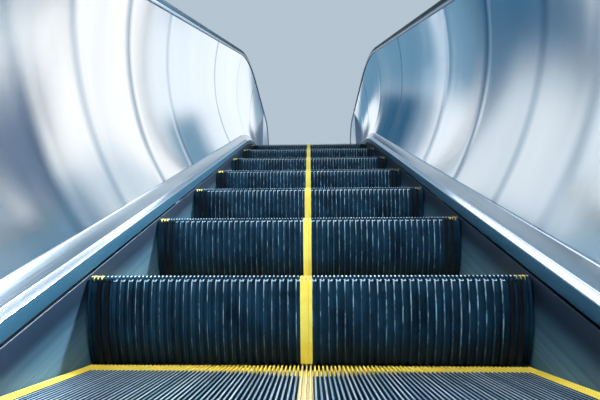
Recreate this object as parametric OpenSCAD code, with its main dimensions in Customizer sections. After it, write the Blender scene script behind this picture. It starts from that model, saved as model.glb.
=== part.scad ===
// Escalator with solid steel balustrades, in its clad casing.
// X is across the steps, +Y is the direction of upward travel, +Z is up.
// The origin is the middle of the bearing face of the lower support bracket.

/* [Travel] */
// Height from the lower landing to the upper landing
rise = 3000; // [2600:100:4200]
// Slope of the incline in degrees
slope = 30; // [28:0.5:32]
// Bend radius of the step path at the lower landing
lower_bend_r = 1000; // [950:50:1300]
// Bend radius of the step path at the upper landing
upper_bend_r = 1500; // [1300:50:1800]
// Level run of steps from the lower comb to the lower corner of the path
lower_level = 1070; // [900:10:1300]
// Level run of steps from the upper corner of the path to the upper comb
upper_level = 1050; // [900:10:1300]

/* [Steps] */
// Width of a step
step_w = 1004; // [800:2:1104]
// Distance between the noses of two steps along the path
step_pitch = 400; // [395:1:406]
// Gap between the back edge of a tread and the riser behind it
step_gap = 6; // [5:0.5:8]
// Depth that a riser hangs below its nose
riser_h = 205; // [202:1:210]
// Thickness of the tread, cleats included
tread_t = 22; // [18:1:26]
// Thickness of the riser, ribs included
riser_t = 16; // [12:1:20]
// Distance from the lower comb to the first nose in the open
first_nose = 78; // [40:2:120]
// Thickness of the two side cheeks of a step
cheek_t = 10; // [6:1:14]
// Radius of a step roller
roller_r = 38; // [34:1:40]
// Width of a step roller
roller_w = 22; // [16:1:24]
// Radius of a roller axle
axle_r = 10; // [8:1:14]

/* [Skirt and decks] */
// Gap between a step and the skirt beside it
side_gap = 4; // [3:0.5:5]
// Thickness of the folded sheets and the skirt
sheet_t = 4; // [3:0.5:5]
// Top edge of the skirt, measured square to the nose line
skirt_top = -13; // [-20:1:-8]
// Bottom edge of the skirt, measured square to the nose line
skirt_bottom = -250; // [-270:5:-230]
// Bottom and top edge of the upright face of the inner deck
deck_face_n = [6, 40];
// Width and rise of the bright strip on the inner deck
deck_strip = [20, 8];
// Width and rise of the moulding between the strip and the panel
deck_moulding = [27, 34];
// Depth of the ledge that carries the panel
deck_ledge = 32; // [24:1:36]
// Height of the outer deck where the outer panel stands on it
outer_deck_n = 100; // [94:1:110]
// Fall of the outer deck towards its edge
outer_deck_fall = 16; // [8:1:24]
// Depth of the fold at the edge of the outer deck
outer_fold = 44; // [34:2:60]

/* [Balustrade] */
// Height of the handrail's underside straight above the nose line
rail_h = 866; // [820:2:900]
// Distance of the handrail's centre line outside the step's edge
rail_out = 115; // [110:1:120]
// Width of the handrail
rail_w = 80; // [76:1:84]
// Thickness of the handrail
rail_t = 30; // [28:1:33]
// Lean of the inner panel's top edge away from the steps
panel_lean = 22; // [10:1:28]
// Depth of the inner panel's hollow curve
panel_hollow = 61; // [40:1:64]
// Radius of the handrail's middle round the newel
newel_r = 330; // [300:5:340]
// Length of the newel behind the centre of its curve
newel_back = 260; // [200:10:320]
// Cover of the handrail inlet box above its pocket
inlet_cover = 52; // [40:2:60]
// Clearance round the handrail in its inlet
inlet_clear = 12; // [8:1:14]

/* [Casing] */
// Overall width across the outer decks
overall_w = 1560; // [1540:4:1620]
// Depth of the casing below the nose line
casing_d = 850; // [800:10:950]
// Thickness of the side cladding and the soffit
clad_t = 4; // [2:0.5:5]
// Width of a truss side frame
truss_w = 82; // [70:2:100]
// Length of the casing from the lower end wall to the lower corner
lower_end = 2300; // [2250:10:2600]
// Length of the casing from the upper corner to the upper end wall
upper_end = 2500; // [2300:10:2800]
// Length of a balustrade bay on the incline
bay_len = 1180; // [1000:10:1400]
// Straight run of the bay that holds the upper bend
upper_bay_run = 398; // [380:2:460]
// Open joint between two bays
joint = 1.5; // [1:0.5:3]

/* [Landings] */
// Height of the floor plates above the level treads
floor_up = 24; // [22:1:30]
// Thickness of the comb plates and the floor plates
plate_t = 22; // [18:1:22]
// Length of the comb segments along the travel
comb_len = 60; // [50:2:70]
// Number of comb segments across the width
comb_count = 5; // [3:1:6]
// Length from the comb tips to the floor plate
comb_plate_len = 420; // [410:5:480]
// Height of the level treads above the bearing face of the support brackets
seat_drop = 130; // [110:5:180]
// Depth of the bearing face of a support bracket
seat_d = 140; // [120:5:180]
// Length of a support bracket across the truss
seat_w = 1400; // [1300:10:1500]
// Thickness of a support bracket
seat_t = 25; // [20:1:30]
// Diameter of the fixing holes in a support bracket
seat_hole_d = 22; // [18:1:26]
// Spacing of the fixing holes across the truss
seat_hole_pitch = 400; // [350:10:420]

/* [Hidden] */
$fn = 48;
// Clearance between pieces that sit on each other
fit = 0.3;
// How far the parts of one solid run into each other
lap = 2;
bend_steps = 12;
panel_steps = 10;

// Corners and ends of the nose line, as [y, z]
lower_wall_y = seat_d / 2;
lower_corner = [lower_wall_y + lower_end, seat_drop];
upper_corner = lower_corner + [rise / tan(slope), rise];
upper_wall_y = upper_corner.x + upper_end;
lower_tangent = lower_bend_r * tan(slope / 2);
upper_tangent = upper_bend_r * tan(slope / 2);
uphill = [cos(slope), sin(slope)];
lower_bend_start = lower_corner - [lower_tangent, 0];
lower_bend_end = lower_corner + lower_tangent * uphill;
upper_bend_start = upper_corner - upper_tangent * uphill;
upper_bend_end = upper_corner + [upper_tangent, 0];
incline_len = rise / sin(slope) - lower_tangent - upper_tangent;
lower_arc = lower_bend_r * slope * PI / 180;
upper_arc = upper_bend_r * slope * PI / 180;

// Places along the level runs
lower_comb_y = lower_corner.x - lower_level;
upper_comb_y = upper_corner.x + upper_level;
lower_deck_y = lower_comb_y - comb_plate_len;
upper_deck_y = upper_comb_y + comb_plate_len;
// Front of the handrail inlet before the centre of the newel's curve
inlet_front = 70;
lower_newel_y = lower_deck_y + inlet_front;
upper_newel_y = upper_deck_y - inlet_front;
beam_lap = 18;
beam_w = 80;

// Places across, from the centre line outwards
skirt_x = step_w / 2 + side_gap;
rail_x = step_w / 2 + rail_out;
strip_x = skirt_x + deck_strip.x;
panel_foot_x = strip_x + deck_moulding.x;
panel_head_x = panel_foot_x + panel_lean;
rail_overhang = 5;
outer_panel_x = rail_x + rail_w / 2 - rail_overhang;
deck_edge_x = overall_w / 2;
clad_x = deck_edge_x - sheet_t - fit;
truss_out_x = clad_x - clad_t - fit;
truss_in_x = truss_out_x - truss_w;

// Heights square to the nose line
strip_n = deck_face_n[1] + deck_strip.y;
ledge_n = strip_n + deck_moulding.y;
outer_edge_n = outer_deck_n - outer_deck_fall;
clad_set = 20;
clad_top_n = outer_edge_n - clad_set;
chord_top_n = -30;
chord_d = 100;
post_w = 60;
brace_w = 50;
post_reach = 20;
floor_under = floor_up - plate_t;

// Sections, as [x, n] with n square to the path
deck_line = [
    [skirt_x, deck_face_n[0]], [skirt_x, deck_face_n[1]], [strip_x, strip_n],
    [panel_foot_x, ledge_n], [panel_foot_x + deck_ledge, ledge_n]
];
outer_ledge = 26;
outer_strip = 10;
outer_deck_line = [
    [outer_panel_x - outer_ledge, outer_deck_n], [outer_panel_x + outer_strip, outer_deck_n],
    [deck_edge_x, outer_edge_n], [deck_edge_x, outer_edge_n - outer_fold]
];
// Guide under the handrail, with n from the handrail's underside
guide_base_n = -6;
guide_lip_n = -1;
slot_n = [8, 18];
slot_clear = 1;
slot_w = 64;
mouth_w = 44;
neck_w = 38;
head_w = 58;
rail_corner_r = 11;
guide_section = [
    [-rail_w / 2, guide_base_n], [rail_w / 2, guide_base_n], [rail_w / 2, guide_lip_n],
    [neck_w / 2, guide_lip_n], [neck_w / 2, slot_n[0] + slot_clear], [head_w / 2, slot_n[0] + slot_clear],
    [head_w / 2, slot_n[1] - fit], [-head_w / 2, slot_n[1] - fit],
    [-head_w / 2, slot_n[0] + slot_clear], [-neck_w / 2, slot_n[0] + slot_clear], [-neck_w / 2, guide_lip_n],
    [-rail_w / 2, guide_lip_n]
];
// Belt with a slot for the guide, and the convex faces that close its ends
lip_r = 6;
rail_side = rail_w / 2;
rail_section = concat(
    [[-mouth_w / 2, 0]],
    arc_points([-rail_side + lip_r, lip_r], lip_r, 270, 180, 2),
    arc_points([-rail_side + rail_corner_r, rail_t - rail_corner_r], rail_corner_r, 180, 90, 4),
    arc_points([rail_side - rail_corner_r, rail_t - rail_corner_r], rail_corner_r, 90, 0, 4),
    arc_points([rail_side - lip_r, lip_r], lip_r, 0, -90, 2),
    [
        [mouth_w / 2, 0], [mouth_w / 2, slot_n[0]], [slot_w / 2, slot_n[0]],
        [slot_w / 2, slot_n[1]], [-slot_w / 2, slot_n[1]], [-slot_w / 2, slot_n[0]],
        [-mouth_w / 2, slot_n[0]]
    ]
);
rail_end_faces = [
    [0, 1, 2, 3, 22, 23], [3, 4, 21, 22], [for (i = [4 : 13]) i, 20, 21], [13, 14, 19, 20],
    [14, 15, 16, 17, 18, 19]
];
// Radius of the handrail's underside round the newel
newel_under_r = newel_r - rail_t / 2;
newel_z = rail_h + rail_t / 2 - newel_r;

// Bay lines, each a point on the nose line and the direction of the path there
lower_bay_least = rail_h * sin(slope);
incline_bays = floor((incline_len - upper_bay_run - lower_bay_least) / bay_len);
bay_lines = concat(
    [[lower_bend_start, 0]],
    [
        for (i = [incline_bays : -1 : 0])
            [upper_bend_start - (upper_bay_run + i * bay_len) * uphill, slope]
    ],
    [[upper_bend_end, 0]]
);
lower_bay_run = incline_len - upper_bay_run - incline_bays * bay_len;

// Steps, counted from under the lower comb plate to under the upper one
level_path = lower_level - lower_tangent;
first_s = first_nose - step_pitch - level_path;
last_s = lower_arc + incline_len + upper_arc + upper_level - upper_tangent;
step_count = floor((last_s - first_s) / step_pitch) + 1;

SIDES = [["left", -1], ["right", 1]];

function step_name(i) = str("step_", i < 10 ? "0" : "", i);
function arc_points(centre, r, from, to, count) =
    [for (i = [0 : count]) let (a = from + (to - from) * i / count) centre + r * [cos(a), sin(a)]];
function reversed(list) = [for (i = [len(list) - 1 : -1 : 0]) list[i]];
function normal(a) = [-sin(a), cos(a)];

// Point of the nose line at the distance s from the start of the lower bend
function nose(s) =
    s < 0 ? lower_bend_start + [s, 0]
    : s < lower_arc
        ? lower_bend_start + lower_bend_r * [sin(s / lower_arc * slope), 1 - cos(s / lower_arc * slope)]
    : s < lower_arc + incline_len ? lower_bend_end + (s - lower_arc) * uphill
    : s < lower_arc + incline_len + upper_arc
        ? let (a = slope * (1 - (s - lower_arc - incline_len) / upper_arc))
            upper_bend_end + upper_bend_r * [-sin(a), cos(a) - 1]
    : upper_bend_end + [s - lower_arc - incline_len - upper_arc, 0];

// The nose line moved by a vector and offset by n, between two places along the level runs
function curve(n, move = [0, 0], from = lower_wall_y, to = upper_wall_y) = concat(
    [[from, lower_corner.y + n + move.y]],
    arc_points(
        lower_bend_start + move + [0, lower_bend_r], lower_bend_r - n, -90, -90 + slope, bend_steps
    ),
    arc_points(
        upper_bend_end + move - [0, upper_bend_r], upper_bend_r + n, 90 + slope, 90, bend_steps
    ),
    [[to, upper_corner.y + n + move.y]]
);

// The same offset with sharp corners, as the casing has
function mitred(n, from = lower_wall_y, to = upper_wall_y) = [
    [from, lower_corner.y + n], lower_corner + n * [-tan(slope / 2), 1],
    upper_corner + n * [-tan(slope / 2), 1], [to, upper_corner.y + n]
];

// Height of the moved and offset nose line at the place y
function height(y, n, move) =
    let (
        low = lower_bend_start + move, up = upper_bend_end + move,
        low_r = lower_bend_r - n, up_r = upper_bend_r + n
    )
    y <= low.x ? low.y + n
    : y <= low.x + low_r * sin(slope) ? low.y + lower_bend_r - sqrt(pow(low_r, 2) - pow(y - low.x, 2))
    : y >= up.x ? up.y + n
    : y >= up.x - up_r * sin(slope) ? up.y - upper_bend_r + sqrt(pow(up_r, 2) - pow(up.x - y, 2))
    : lower_corner.y + move.y + (y - lower_corner.x - move.x) * tan(slope) + n / cos(slope);

// The line moved sideways by d, with mitred corners: positive d is to its left
function moved_line(line, d) = [
    for (i = [0 : len(line) - 1])
        let (
            before = i > 0 ? unit(line[i] - line[i - 1]) : unit(line[1] - line[0]),
            after = i < len(line) - 1 ? unit(line[i + 1] - line[i]) : before,
            left = [-(before + after).y, (before + after).x]
        )
        line[i] + left * 2 * d / (left * left)
];
function unit(v) = v / norm(v);
function thickened(line, t) = concat(line, reversed(moved_line(line, t)));

// Sheet of the inner panel in section, with its foot at n0 and its head at n1
function panel_x(t) = panel_foot_x + fit + panel_lean * t + panel_hollow * 4 * t * (1 - t);
function panel_section(n0, n1) = concat(
    [for (i = [0 : panel_steps]) let (t = i / panel_steps) [panel_x(t), n0 + (n1 - n0) * t]],
    [
        for (i = [panel_steps : -1 : 0])
            let (t = i / panel_steps) [panel_x(t) + sheet_t, n0 + (n1 - n0) * t]
    ]
);

// A flat outline in [y, z], made into a plate between two places across
module plate(x0, x1, outline) {
    translate([x0, 0, 0]) rotate([90, 0, 90]) linear_extrude(x1 - x0) polygon(outline);
}

module sided(side) {
    if (side < 0) mirror([1, 0, 0]) children();
    else children();
}

// A walk along the path. The walker faces local -Z, with X across and Y square to the path.
// Each module below draws its stretch and sets its children at the end of it.
module walk_from(point, a = 0) {
    translate([0, point.x, point.y]) rotate([90 + a, 0, 0]) children();
}

module skip(length) {
    translate([0, 0, -length]) children();
}

module run(section, length) {
    translate([0, 0, -length]) {
        linear_extrude(length) polygon(section);
        children();
    }
}

module bend_up(section, r, a = slope) {
    translate([0, r, 0]) {
        rotate([180, 0, 0]) rotate([90, 0, 90])
            rotate_extrude(angle = a) polygon([for (p = section) [r - p.y, p.x]]);
        rotate([a, 0, 0]) translate([0, -r, 0]) children();
    }
}

module bend_down(section, r, a = slope) {
    translate([0, -r, 0]) {
        rotate([0, 180, 0]) rotate([90, 0, 90])
            rotate_extrude(angle = a) polygon([for (p = section) [r + p.y, -p.x]]);
        rotate([-a, 0, 0]) translate([0, r, 0]) children();
    }
}

// Section run through every bay between two places along the level runs, with open joints
module bays(section, from, to) {
    walk_from([from, lower_corner.y])
        run(section, lower_bend_start.x - from - joint) skip(joint)
        bend_up(section, lower_bend_r) skip(joint) run(section, lower_bay_run - joint) {
            for (i = [0 : incline_bays - 1])
                skip(joint + i * bay_len) run(section, bay_len - joint);
            skip(joint + incline_bays * bay_len) run(section, upper_bay_run - 2 * joint)
                skip(joint) bend_down(section, upper_bend_r) skip(joint)
                run(section, to - upper_bend_end.x - joint);
        }
}

// Skin over rows of points, each row once round the same section and turning the same way.
// The ends are closed by convex faces, which name the points of a row that they join.
module skin(rows, end_faces) {
    count = len(rows[0]);
    last = len(rows) - 1;
    polyhedron(
        [for (row = rows, p = row) p],
        concat(
            end_faces,
            [
                for (row = [0 : last - 1], i = [0 : count - 1])
                    let (j = (i + 1) % count)
                    [row * count + i, (row + 1) * count + i, (row + 1) * count + j, row * count + j]
            ],
            [for (face = end_faces) [for (i = reversed(face)) last * count + i]]
        )
    );
}

// The part of a flat outline that lies between two bay lines, less half a joint at each
module bay_cut(a, b) {
    reach = 3000;
    gap = joint / 2;
    along_a = [cos(a[1]), sin(a[1])];
    along_b = [cos(b[1]), sin(b[1])];
    intersection() {
        children();
        polygon([
            a[0] + gap * along_a - reach * normal(a[1]), b[0] - gap * along_b - reach * normal(b[1]),
            b[0] - gap * along_b + reach * normal(b[1]), a[0] + gap * along_a + reach * normal(a[1])
        ]);
    }
}

// Plates cut from one outline, one for each bay
module bay_plates(x0, x1, lines, outline) {
    translate([x0, 0, 0]) rotate([90, 0, 90]) {
        for (i = [0 : len(lines) - 2]) {
            linear_extrude(x1 - x0) bay_cut(lines[i], lines[i + 1]) polygon(outline);
        }
    }
}

function with_ends(from, to) = concat(
    [[[from - joint / 2, lower_corner.y], 0]], bay_lines, [[[to + joint / 2, upper_corner.y], 0]]
);

// Step: cleated tread, curved riser, two cheeks, and rollers fore and aft on each side
chain_axle = [step_pitch - 70, -75];
trailing_axle = [95, 20 - riser_h];
cheek_in = 72;
roller_clear = 4;
roller_gap = 12;
boss = 16;
cheek_x = step_w / 2 - cheek_in;
trailing_roller_x = cheek_x + cheek_t + roller_clear;
chain_roller_x = trailing_roller_x + roller_w + roller_gap;

module step(i) {
    at = nose(first_s + (i - 1) * step_pitch);
    riser_arc = 2 * asin(riser_h / 2 / step_pitch);
    tread_back = step_pitch - step_gap;
    color("#26384f") translate([0, at.x, at.y]) {
        plate(-step_w / 2, step_w / 2, [
            [0, 0], [tread_back, 0], [tread_back, -tread_t], [riser_t / 2, -tread_t]
        ]);
        plate(-step_w / 2, step_w / 2, concat(
            arc_points([step_pitch, 0], step_pitch, 180, 180 + riser_arc, 8),
            arc_points([step_pitch, 0], step_pitch - riser_t, 180 + riser_arc, 180, 8)
        ));
        for (side = [-1, 1]) sided(side) {
            plate(cheek_x, cheek_x + cheek_t, [
                [riser_t - lap, -tread_t / 2], [tread_back - lap, -tread_t / 2],
                [chain_axle.x + boss, chain_axle.y - boss],
                [trailing_axle.x + boss, trailing_axle.y - boss],
                [trailing_axle.x - boss, trailing_axle.y - boss]
            ]);
            step_roller(trailing_axle, trailing_roller_x);
            step_roller(chain_axle, chain_roller_x);
        }
    }
}

module step_roller(axle, x) {
    translate([x, axle.x, axle.y]) rotate([0, 90, 0]) cylinder(r = roller_r, h = roller_w);
    translate([cheek_x + lap, axle.x, axle.y]) rotate([0, 90, 0])
        cylinder(r = axle_r, h = x - cheek_x + roller_w / 2);
}

module skirt(side) {
    outline = concat(curve(skirt_bottom), reversed(curve(skirt_top)));
    color("#7d93ad") sided(side)
        bay_plates(
            skirt_x, skirt_x + sheet_t,
            with_ends(lower_deck_y + beam_lap + fit, upper_deck_y - beam_lap - fit), outline
        );
}

module inner_deck(side) {
    color("#c9d6e4") sided(side)
        bays(thickened(deck_line, -sheet_t), lower_deck_y, upper_deck_y);
}

module outer_deck(side) {
    color("#c9d6e4") sided(side)
        bays(thickened(outer_deck_line, -sheet_t), lower_deck_y, upper_deck_y);
}

// Inner panels: straight bays are pushed sections, the bends are skinned between two curves
module inner_panels(side) {
    foot = ledge_n + fit;
    head = guide_base_n - fit;
    level_head = rail_h + head;
    incline_head = rail_h * cos(slope) + head;
    level = panel_section(foot, level_head);
    incline = panel_section(foot, incline_head);
    lower_end_y = lower_newel_y + newel_back + joint;
    upper_end_y = upper_newel_y - newel_back - joint;
    color("#d5e2f0") sided(side) {
        walk_from([lower_end_y, lower_corner.y])
            run(level, lower_bend_start.x - joint - lower_end_y);
        bent_panel(lower_bend_start, 0, bay_lines[1][0], slope, foot, head, incline_head);
        for (i = [1 : incline_bays])
            walk_from(bay_lines[i][0] + joint * uphill, slope) run(incline, bay_len - joint);
        bent_panel(
            bay_lines[incline_bays + 1][0] + joint * uphill, slope, upper_bend_end, 0,
            foot, head, incline_head
        );
        walk_from(upper_bend_end + [joint, 0]) run(level, upper_end_y - upper_bend_end.x - joint);
    }
}

// Panel through a bend, from the bay line at a to the bay line at b
module bent_panel(a, a_slope, b, b_slope, foot, head, incline_head) {
    row_count = 12;
    count = 2 * (panel_steps + 1);
    function end_y(p, s, n) = p.x - (s > 0 ? n * sin(slope) : 0);
    skin([
        for (row = [0 : row_count])
            let (
                u = row / row_count,
                foot_y = (1 - u) * end_y(a, a_slope, foot) + u * end_y(b, b_slope, foot),
                head_y = (1 - u) * end_y(a, a_slope, incline_head) + u * end_y(b, b_slope, incline_head),
                foot_z = height(foot_y, foot, [0, 0]),
                head_z = height(head_y, head, [0, rail_h])
            )
            [
                for (i = [0 : count - 1])
                    let (outer = i > panel_steps, t = (outer ? count - 1 - i : i) / panel_steps)
                    [
                        panel_x(t) + (outer ? sheet_t : 0),
                        foot_y + (head_y - foot_y) * t, foot_z + (head_z - foot_z) * t
                    ]
            ]
    ], [for (i = [0 : panel_steps - 1]) [i, i + 1, count - 2 - i, count - 1 - i]]);
}

module outer_panels(side) {
    outline = concat(
        curve(outer_deck_n + fit), reversed(curve(guide_base_n - fit, [0, rail_h]))
    );
    color("#9fb2c6") sided(side)
        bay_plates(
            outer_panel_x - sheet_t, outer_panel_x,
            with_ends(lower_newel_y + newel_back + joint, upper_newel_y - newel_back - joint), outline
        );
}

// Cladding: the end bays stop under the floor plates, the rest reach up behind the outer deck
module side_cladding(side) {
    under = mitred(-casing_d - clad_t);
    low = floor_under - fit;
    lines = with_ends(lower_wall_y, upper_wall_y);
    count = len(lines);
    first = [[lower_deck_y, lower_corner.y], 0];
    last = [[upper_deck_y, upper_corner.y], 0];
    color("#8fa3b8") sided(side) {
        bay_plates(clad_x - clad_t, clad_x, [lines[0], first], concat(under, reversed(curve(low))));
        bay_plates(
            clad_x - clad_t, clad_x,
            concat([first], [for (i = [1 : count - 2]) lines[i]], [last]),
            concat(under, reversed(curve(clad_top_n)))
        );
        bay_plates(clad_x - clad_t, clad_x, [last, lines[count - 1]], concat(under, reversed(curve(low))));
    }
}

module soffit() {
    outline = concat(mitred(-casing_d - clad_t), reversed(mitred(-casing_d - fit)));
    color("#8fa3b8")
        bay_plates(
            -clad_x + clad_t + fit, clad_x - clad_t - fit, with_ends(lower_wall_y, upper_wall_y), outline
        );
}

module handrail_guide(side) {
    section = [for (p = guide_section) [p.x + rail_x, p.y]];
    lower_back_y = lower_newel_y + newel_back + joint;
    upper_back_y = upper_newel_y - newel_back - joint;
    color("#dfe6ec") sided(side)
        walk_from([lower_back_y, lower_corner.y + rail_h])
            run(section, lower_bend_start.x - lower_back_y - joint) skip(joint)
            bend_up(section, lower_bend_r) skip(joint)
            run(section, incline_len - 2 * joint) skip(joint)
            bend_down(section, upper_bend_r) skip(joint)
            run(section, upper_back_y - upper_bend_end.x - joint);
}

// Handrail: one belt from inlet to inlet, over the incline and round both newels.
// Each frame along it is [y, z, direction], and the section stands square to the direction.
inlet_run = 40;
turn_steps = 14;
rail_bend_steps = 8;

function frames(centre, r, from, to, count) = [
    for (i = [0 : count]) let (a = from + (to - from) * i / count)
        [centre.x - r * sin(a), centre.y + r * cos(a), a]
];

module handrail(side) {
    lower_newel = [lower_newel_y, lower_corner.y + newel_z];
    upper_newel = [upper_newel_y, upper_corner.y + newel_z];
    line = concat(
        [[lower_newel.x + inlet_run, lower_newel.y - newel_under_r, 180]],
        frames(lower_newel, newel_under_r, 180, 0, turn_steps),
        frames(
            lower_bend_start + [0, rail_h + lower_bend_r], -lower_bend_r, 0, slope, rail_bend_steps
        ),
        frames(upper_bend_end + [0, rail_h - upper_bend_r], upper_bend_r, slope, 0, rail_bend_steps),
        frames(upper_newel, newel_under_r, 0, -180, turn_steps),
        [[upper_newel.x - inlet_run, upper_newel.y - newel_under_r, -180]]
    );
    color("#10161f") sided(side) skin([
        for (f = line) [
            for (p = rail_section)
                [p.x + rail_x, f[0] - p.y * sin(f[2]), f[1] + p.y * cos(f[2])]
        ]
    ], rail_end_faces);
}

// Newel: rounded end of the balustrade, with the rim that guides the belt and the inlet box
cap_t = 8;
newel_set = 8;
box_set = 18;
box_bevel = 30;

module newel(side, at_lower) {
    y = at_lower ? lower_newel_y : upper_newel_y;
    level = at_lower ? lower_corner.y : upper_corner.y;
    rim = [for (p = guide_section) [p.x + rail_x, p.y]];
    slab_r = newel_under_r + guide_base_n + lap / 2;
    slab_x = [panel_head_x + newel_set, outer_panel_x - newel_set];
    box_x = [panel_foot_x + newel_set, truss_in_x - box_set];
    front = -inlet_front - cap_t;
    pocket_w = rail_w + 2 * inlet_clear;
    pocket_h = rail_t + 2 * inlet_clear;
    pocket_depth = inlet_run + inlet_clear;
    pocket_z = newel_z - newel_r - pocket_h / 2;
    box_top = pocket_z + pocket_h + inlet_cover;
    color("#b9c6d4") sided(side) translate([0, y, level]) mirror([0, at_lower ? 0 : 1, 0])
        difference() {
            union() {
                plate(slab_x[0], slab_x[1], concat(
                    arc_points([0, newel_z], slab_r, 90, 270, 24),
                    [[newel_back, newel_z - slab_r], [newel_back, newel_z + slab_r]]
                ));
                plate(box_x[0], box_x[1], [
                    [front, outer_deck_n + fit], [newel_back, outer_deck_n + fit],
                    [newel_back, box_top], [front + box_bevel, box_top], [front, box_top - box_bevel]
                ]);
                plate(box_x[0], outer_deck_line[0].x - fit, [
                    [front, ledge_n + fit], [newel_back, ledge_n + fit],
                    [newel_back, outer_deck_n + lap], [front, outer_deck_n + lap]
                ]);
                walk_from([0, newel_z - newel_under_r], 180) bend_down(rim, newel_under_r, 180)
                    run(rim, newel_back);
                walk_from([front, 0]) run(concat(
                    deck_line,
                    [[box_x[0] + lap, outer_deck_n + lap], [box_x[1] - lap, outer_deck_n + lap]],
                    [for (i = [1 : 3]) outer_deck_line[i]]
                ), cap_t);
            }
            translate([rail_x - pocket_w / 2, 2 * front, pocket_z])
                cube([pocket_w, pocket_depth - 2 * front, pocket_h]);
        }
}

// Truss side: chords, posts at the bay lines and braces, with the carriers of skirt and decks
function bar(a, b, w) = let (side = w / 2 * normal(atan2(b.y - a.y, b.x - a.x)))
    [a - side, b - side, b + side, a + side];

inner_lines = len(bay_lines) - 1;
stations = concat(
    [[[lower_deck_y + post_w, lower_corner.y], 0], bay_lines[0], [lower_bend_end, slope]],
    [for (i = [1 : inner_lines - 1]) bay_lines[i]],
    [[upper_bend_start, slope], bay_lines[inner_lines], [[upper_deck_y - post_w, upper_corner.y], 0]]
);

module truss(side) {
    top_n = chord_top_n - chord_d / 2;
    low_n = -casing_d + chord_d / 2;
    posts = concat(
        [[[lower_wall_y + post_w / 2, lower_corner.y], 0]], stations,
        [[[upper_wall_y - post_w / 2, upper_corner.y], 0]]
    );
    color("#5a6672") sided(side) {
        translate([truss_in_x, 0, 0]) rotate([90, 0, 90]) linear_extrude(truss_w) {
            polygon(concat(curve(chord_top_n - chord_d), reversed(curve(chord_top_n))));
            polygon(concat(mitred(-casing_d), reversed(mitred(-casing_d + chord_d))));
            for (p = posts) polygon(bar(post_point(p, top_n), post_point(p, low_n), post_w));
            for (i = [0 : len(posts) - 2])
                polygon(bar(post_point(posts[i], top_n), post_point(posts[i + 1], low_n), brace_w));
        }
        for (p = stations) balustrade_carrier(p);
    }
}

// Point on a post at the height n, kept on the casing's own lines
function post_point(p, n) = p[0] + n * normal(p[1]);
carrier_edge = 10;

module balustrade_carrier(p) {
    clear = sheet_t + fit;
    inner = moved_line(deck_line, -clear);
    outer = moved_line(outer_deck_line, -clear);
    last = len(inner) - 1;
    section = concat(
        [[inner[0].x, skirt_bottom + carrier_edge]], [for (i = [0 : last - 1]) inner[i]],
        [[outer[0].x, inner[last].y]], [outer[0], outer[1]],
        [[truss_out_x, outer[2].y]],
        [
            [truss_out_x, chord_top_n - chord_d / 2],
            [truss_in_x + carrier_edge, chord_top_n - chord_d / 2]
        ]
    );
    translate([0, p[0].x, p[0].y]) rotate([90 + p[1], 0, 0]) translate([0, 0, -post_reach])
        linear_extrude(2 * post_reach) polygon(section);
}

// Step tracks: one web under the chain rollers and one under the trailing rollers
track_low_n = -330;
track_end = 10;
track_foot = 50;
web_t = 18;

module step_track(side) {
    from = lower_deck_y + beam_lap + track_end;
    to = upper_deck_y - beam_lap - track_end;
    under = curve(track_low_n, [0, 0], from, to);
    chain_web_x = chain_roller_x + (roller_w - web_t) / 2;
    trailing_web_x = trailing_roller_x + (roller_w - web_t) / 2;
    foot_x = truss_in_x - fit;
    color("#5a6672") sided(side) {
        plate(chain_web_x, chain_web_x + web_t, concat(
            under, reversed(curve(-roller_r - fit, chain_axle, from, to))
        ));
        plate(trailing_web_x, trailing_web_x + web_t, concat(
            under, reversed(curve(-roller_r - fit, trailing_axle, from, to))
        ));
        for (p = stations)
            translate([0, p[0].x, p[0].y]) rotate([90 + p[1], 0, 0]) translate([0, 0, -post_reach])
                linear_extrude(2 * post_reach) polygon([
                    [trailing_web_x, track_low_n - track_foot], [foot_x, track_low_n - track_foot],
                    [foot_x, track_low_n + lap], [trailing_web_x, track_low_n + lap]
                ]);
    }
}

// Comb segments lap over the front lip of the comb plate
lap_len = 24;
lap_z = floor_under + plate_t / 2;
comb_land = 12;
tip_t = 3;
plate_clear = 1;

module combs(at_lower) {
    w = (step_w - fit * 2) / comb_count;
    color("#e8cf4a") landing(at_lower) for (i = [0 : comb_count - 1])
        plate(-step_w / 2 + i * w + joint / 2, -step_w / 2 + (i + 1) * w - joint / 2, [
            [0, floor_under], [comb_len - lap_len, floor_under], [comb_len - lap_len, lap_z + fit],
            [comb_len, lap_z + fit], [comb_len, floor_up], [comb_len - comb_land, floor_up],
            [0, floor_under + tip_t]
        ]);
}

module comb_plate(at_lower) {
    color("#aab4bd") landing(at_lower)
        plate(-skirt_x + plate_clear, skirt_x - plate_clear, [
            [comb_len - lap_len + fit, floor_under], [comb_plate_len - fit, floor_under],
            [comb_plate_len - fit, floor_up], [comb_len + fit, floor_up],
            [comb_len + fit, lap_z], [comb_len - lap_len + fit, lap_z]
        ]);
}

module floor_plate(at_lower) {
    length = at_lower ? lower_deck_y - lower_wall_y : upper_wall_y - upper_deck_y;
    color("#9aa5ae") landing(at_lower) translate([0, comb_plate_len, floor_under]) {
        translate([-skirt_x + plate_clear, 0, 0])
            cube([2 * (skirt_x - plate_clear), cap_t + plate_clear + lap, plate_t]);
        translate([-deck_edge_x + sheet_t, cap_t + plate_clear, 0])
            cube([2 * (deck_edge_x - sheet_t), length - cap_t - plate_clear, plate_t]);
    }
}

// Places the pieces of a landing, with y counted from the comb line away from the steps
module landing(at_lower) {
    y = at_lower ? lower_comb_y : upper_comb_y;
    level = at_lower ? lower_corner.y : upper_corner.y;
    translate([0, y, level]) mirror([0, at_lower ? 1 : 0, 0]) children();
}

// End frame: frame under the floor plate, end wall of the casing and support bracket
wall_t = 12;
beam_drop = 60;
bearer_w = 60;
end_bearer_w = 40;

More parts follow.
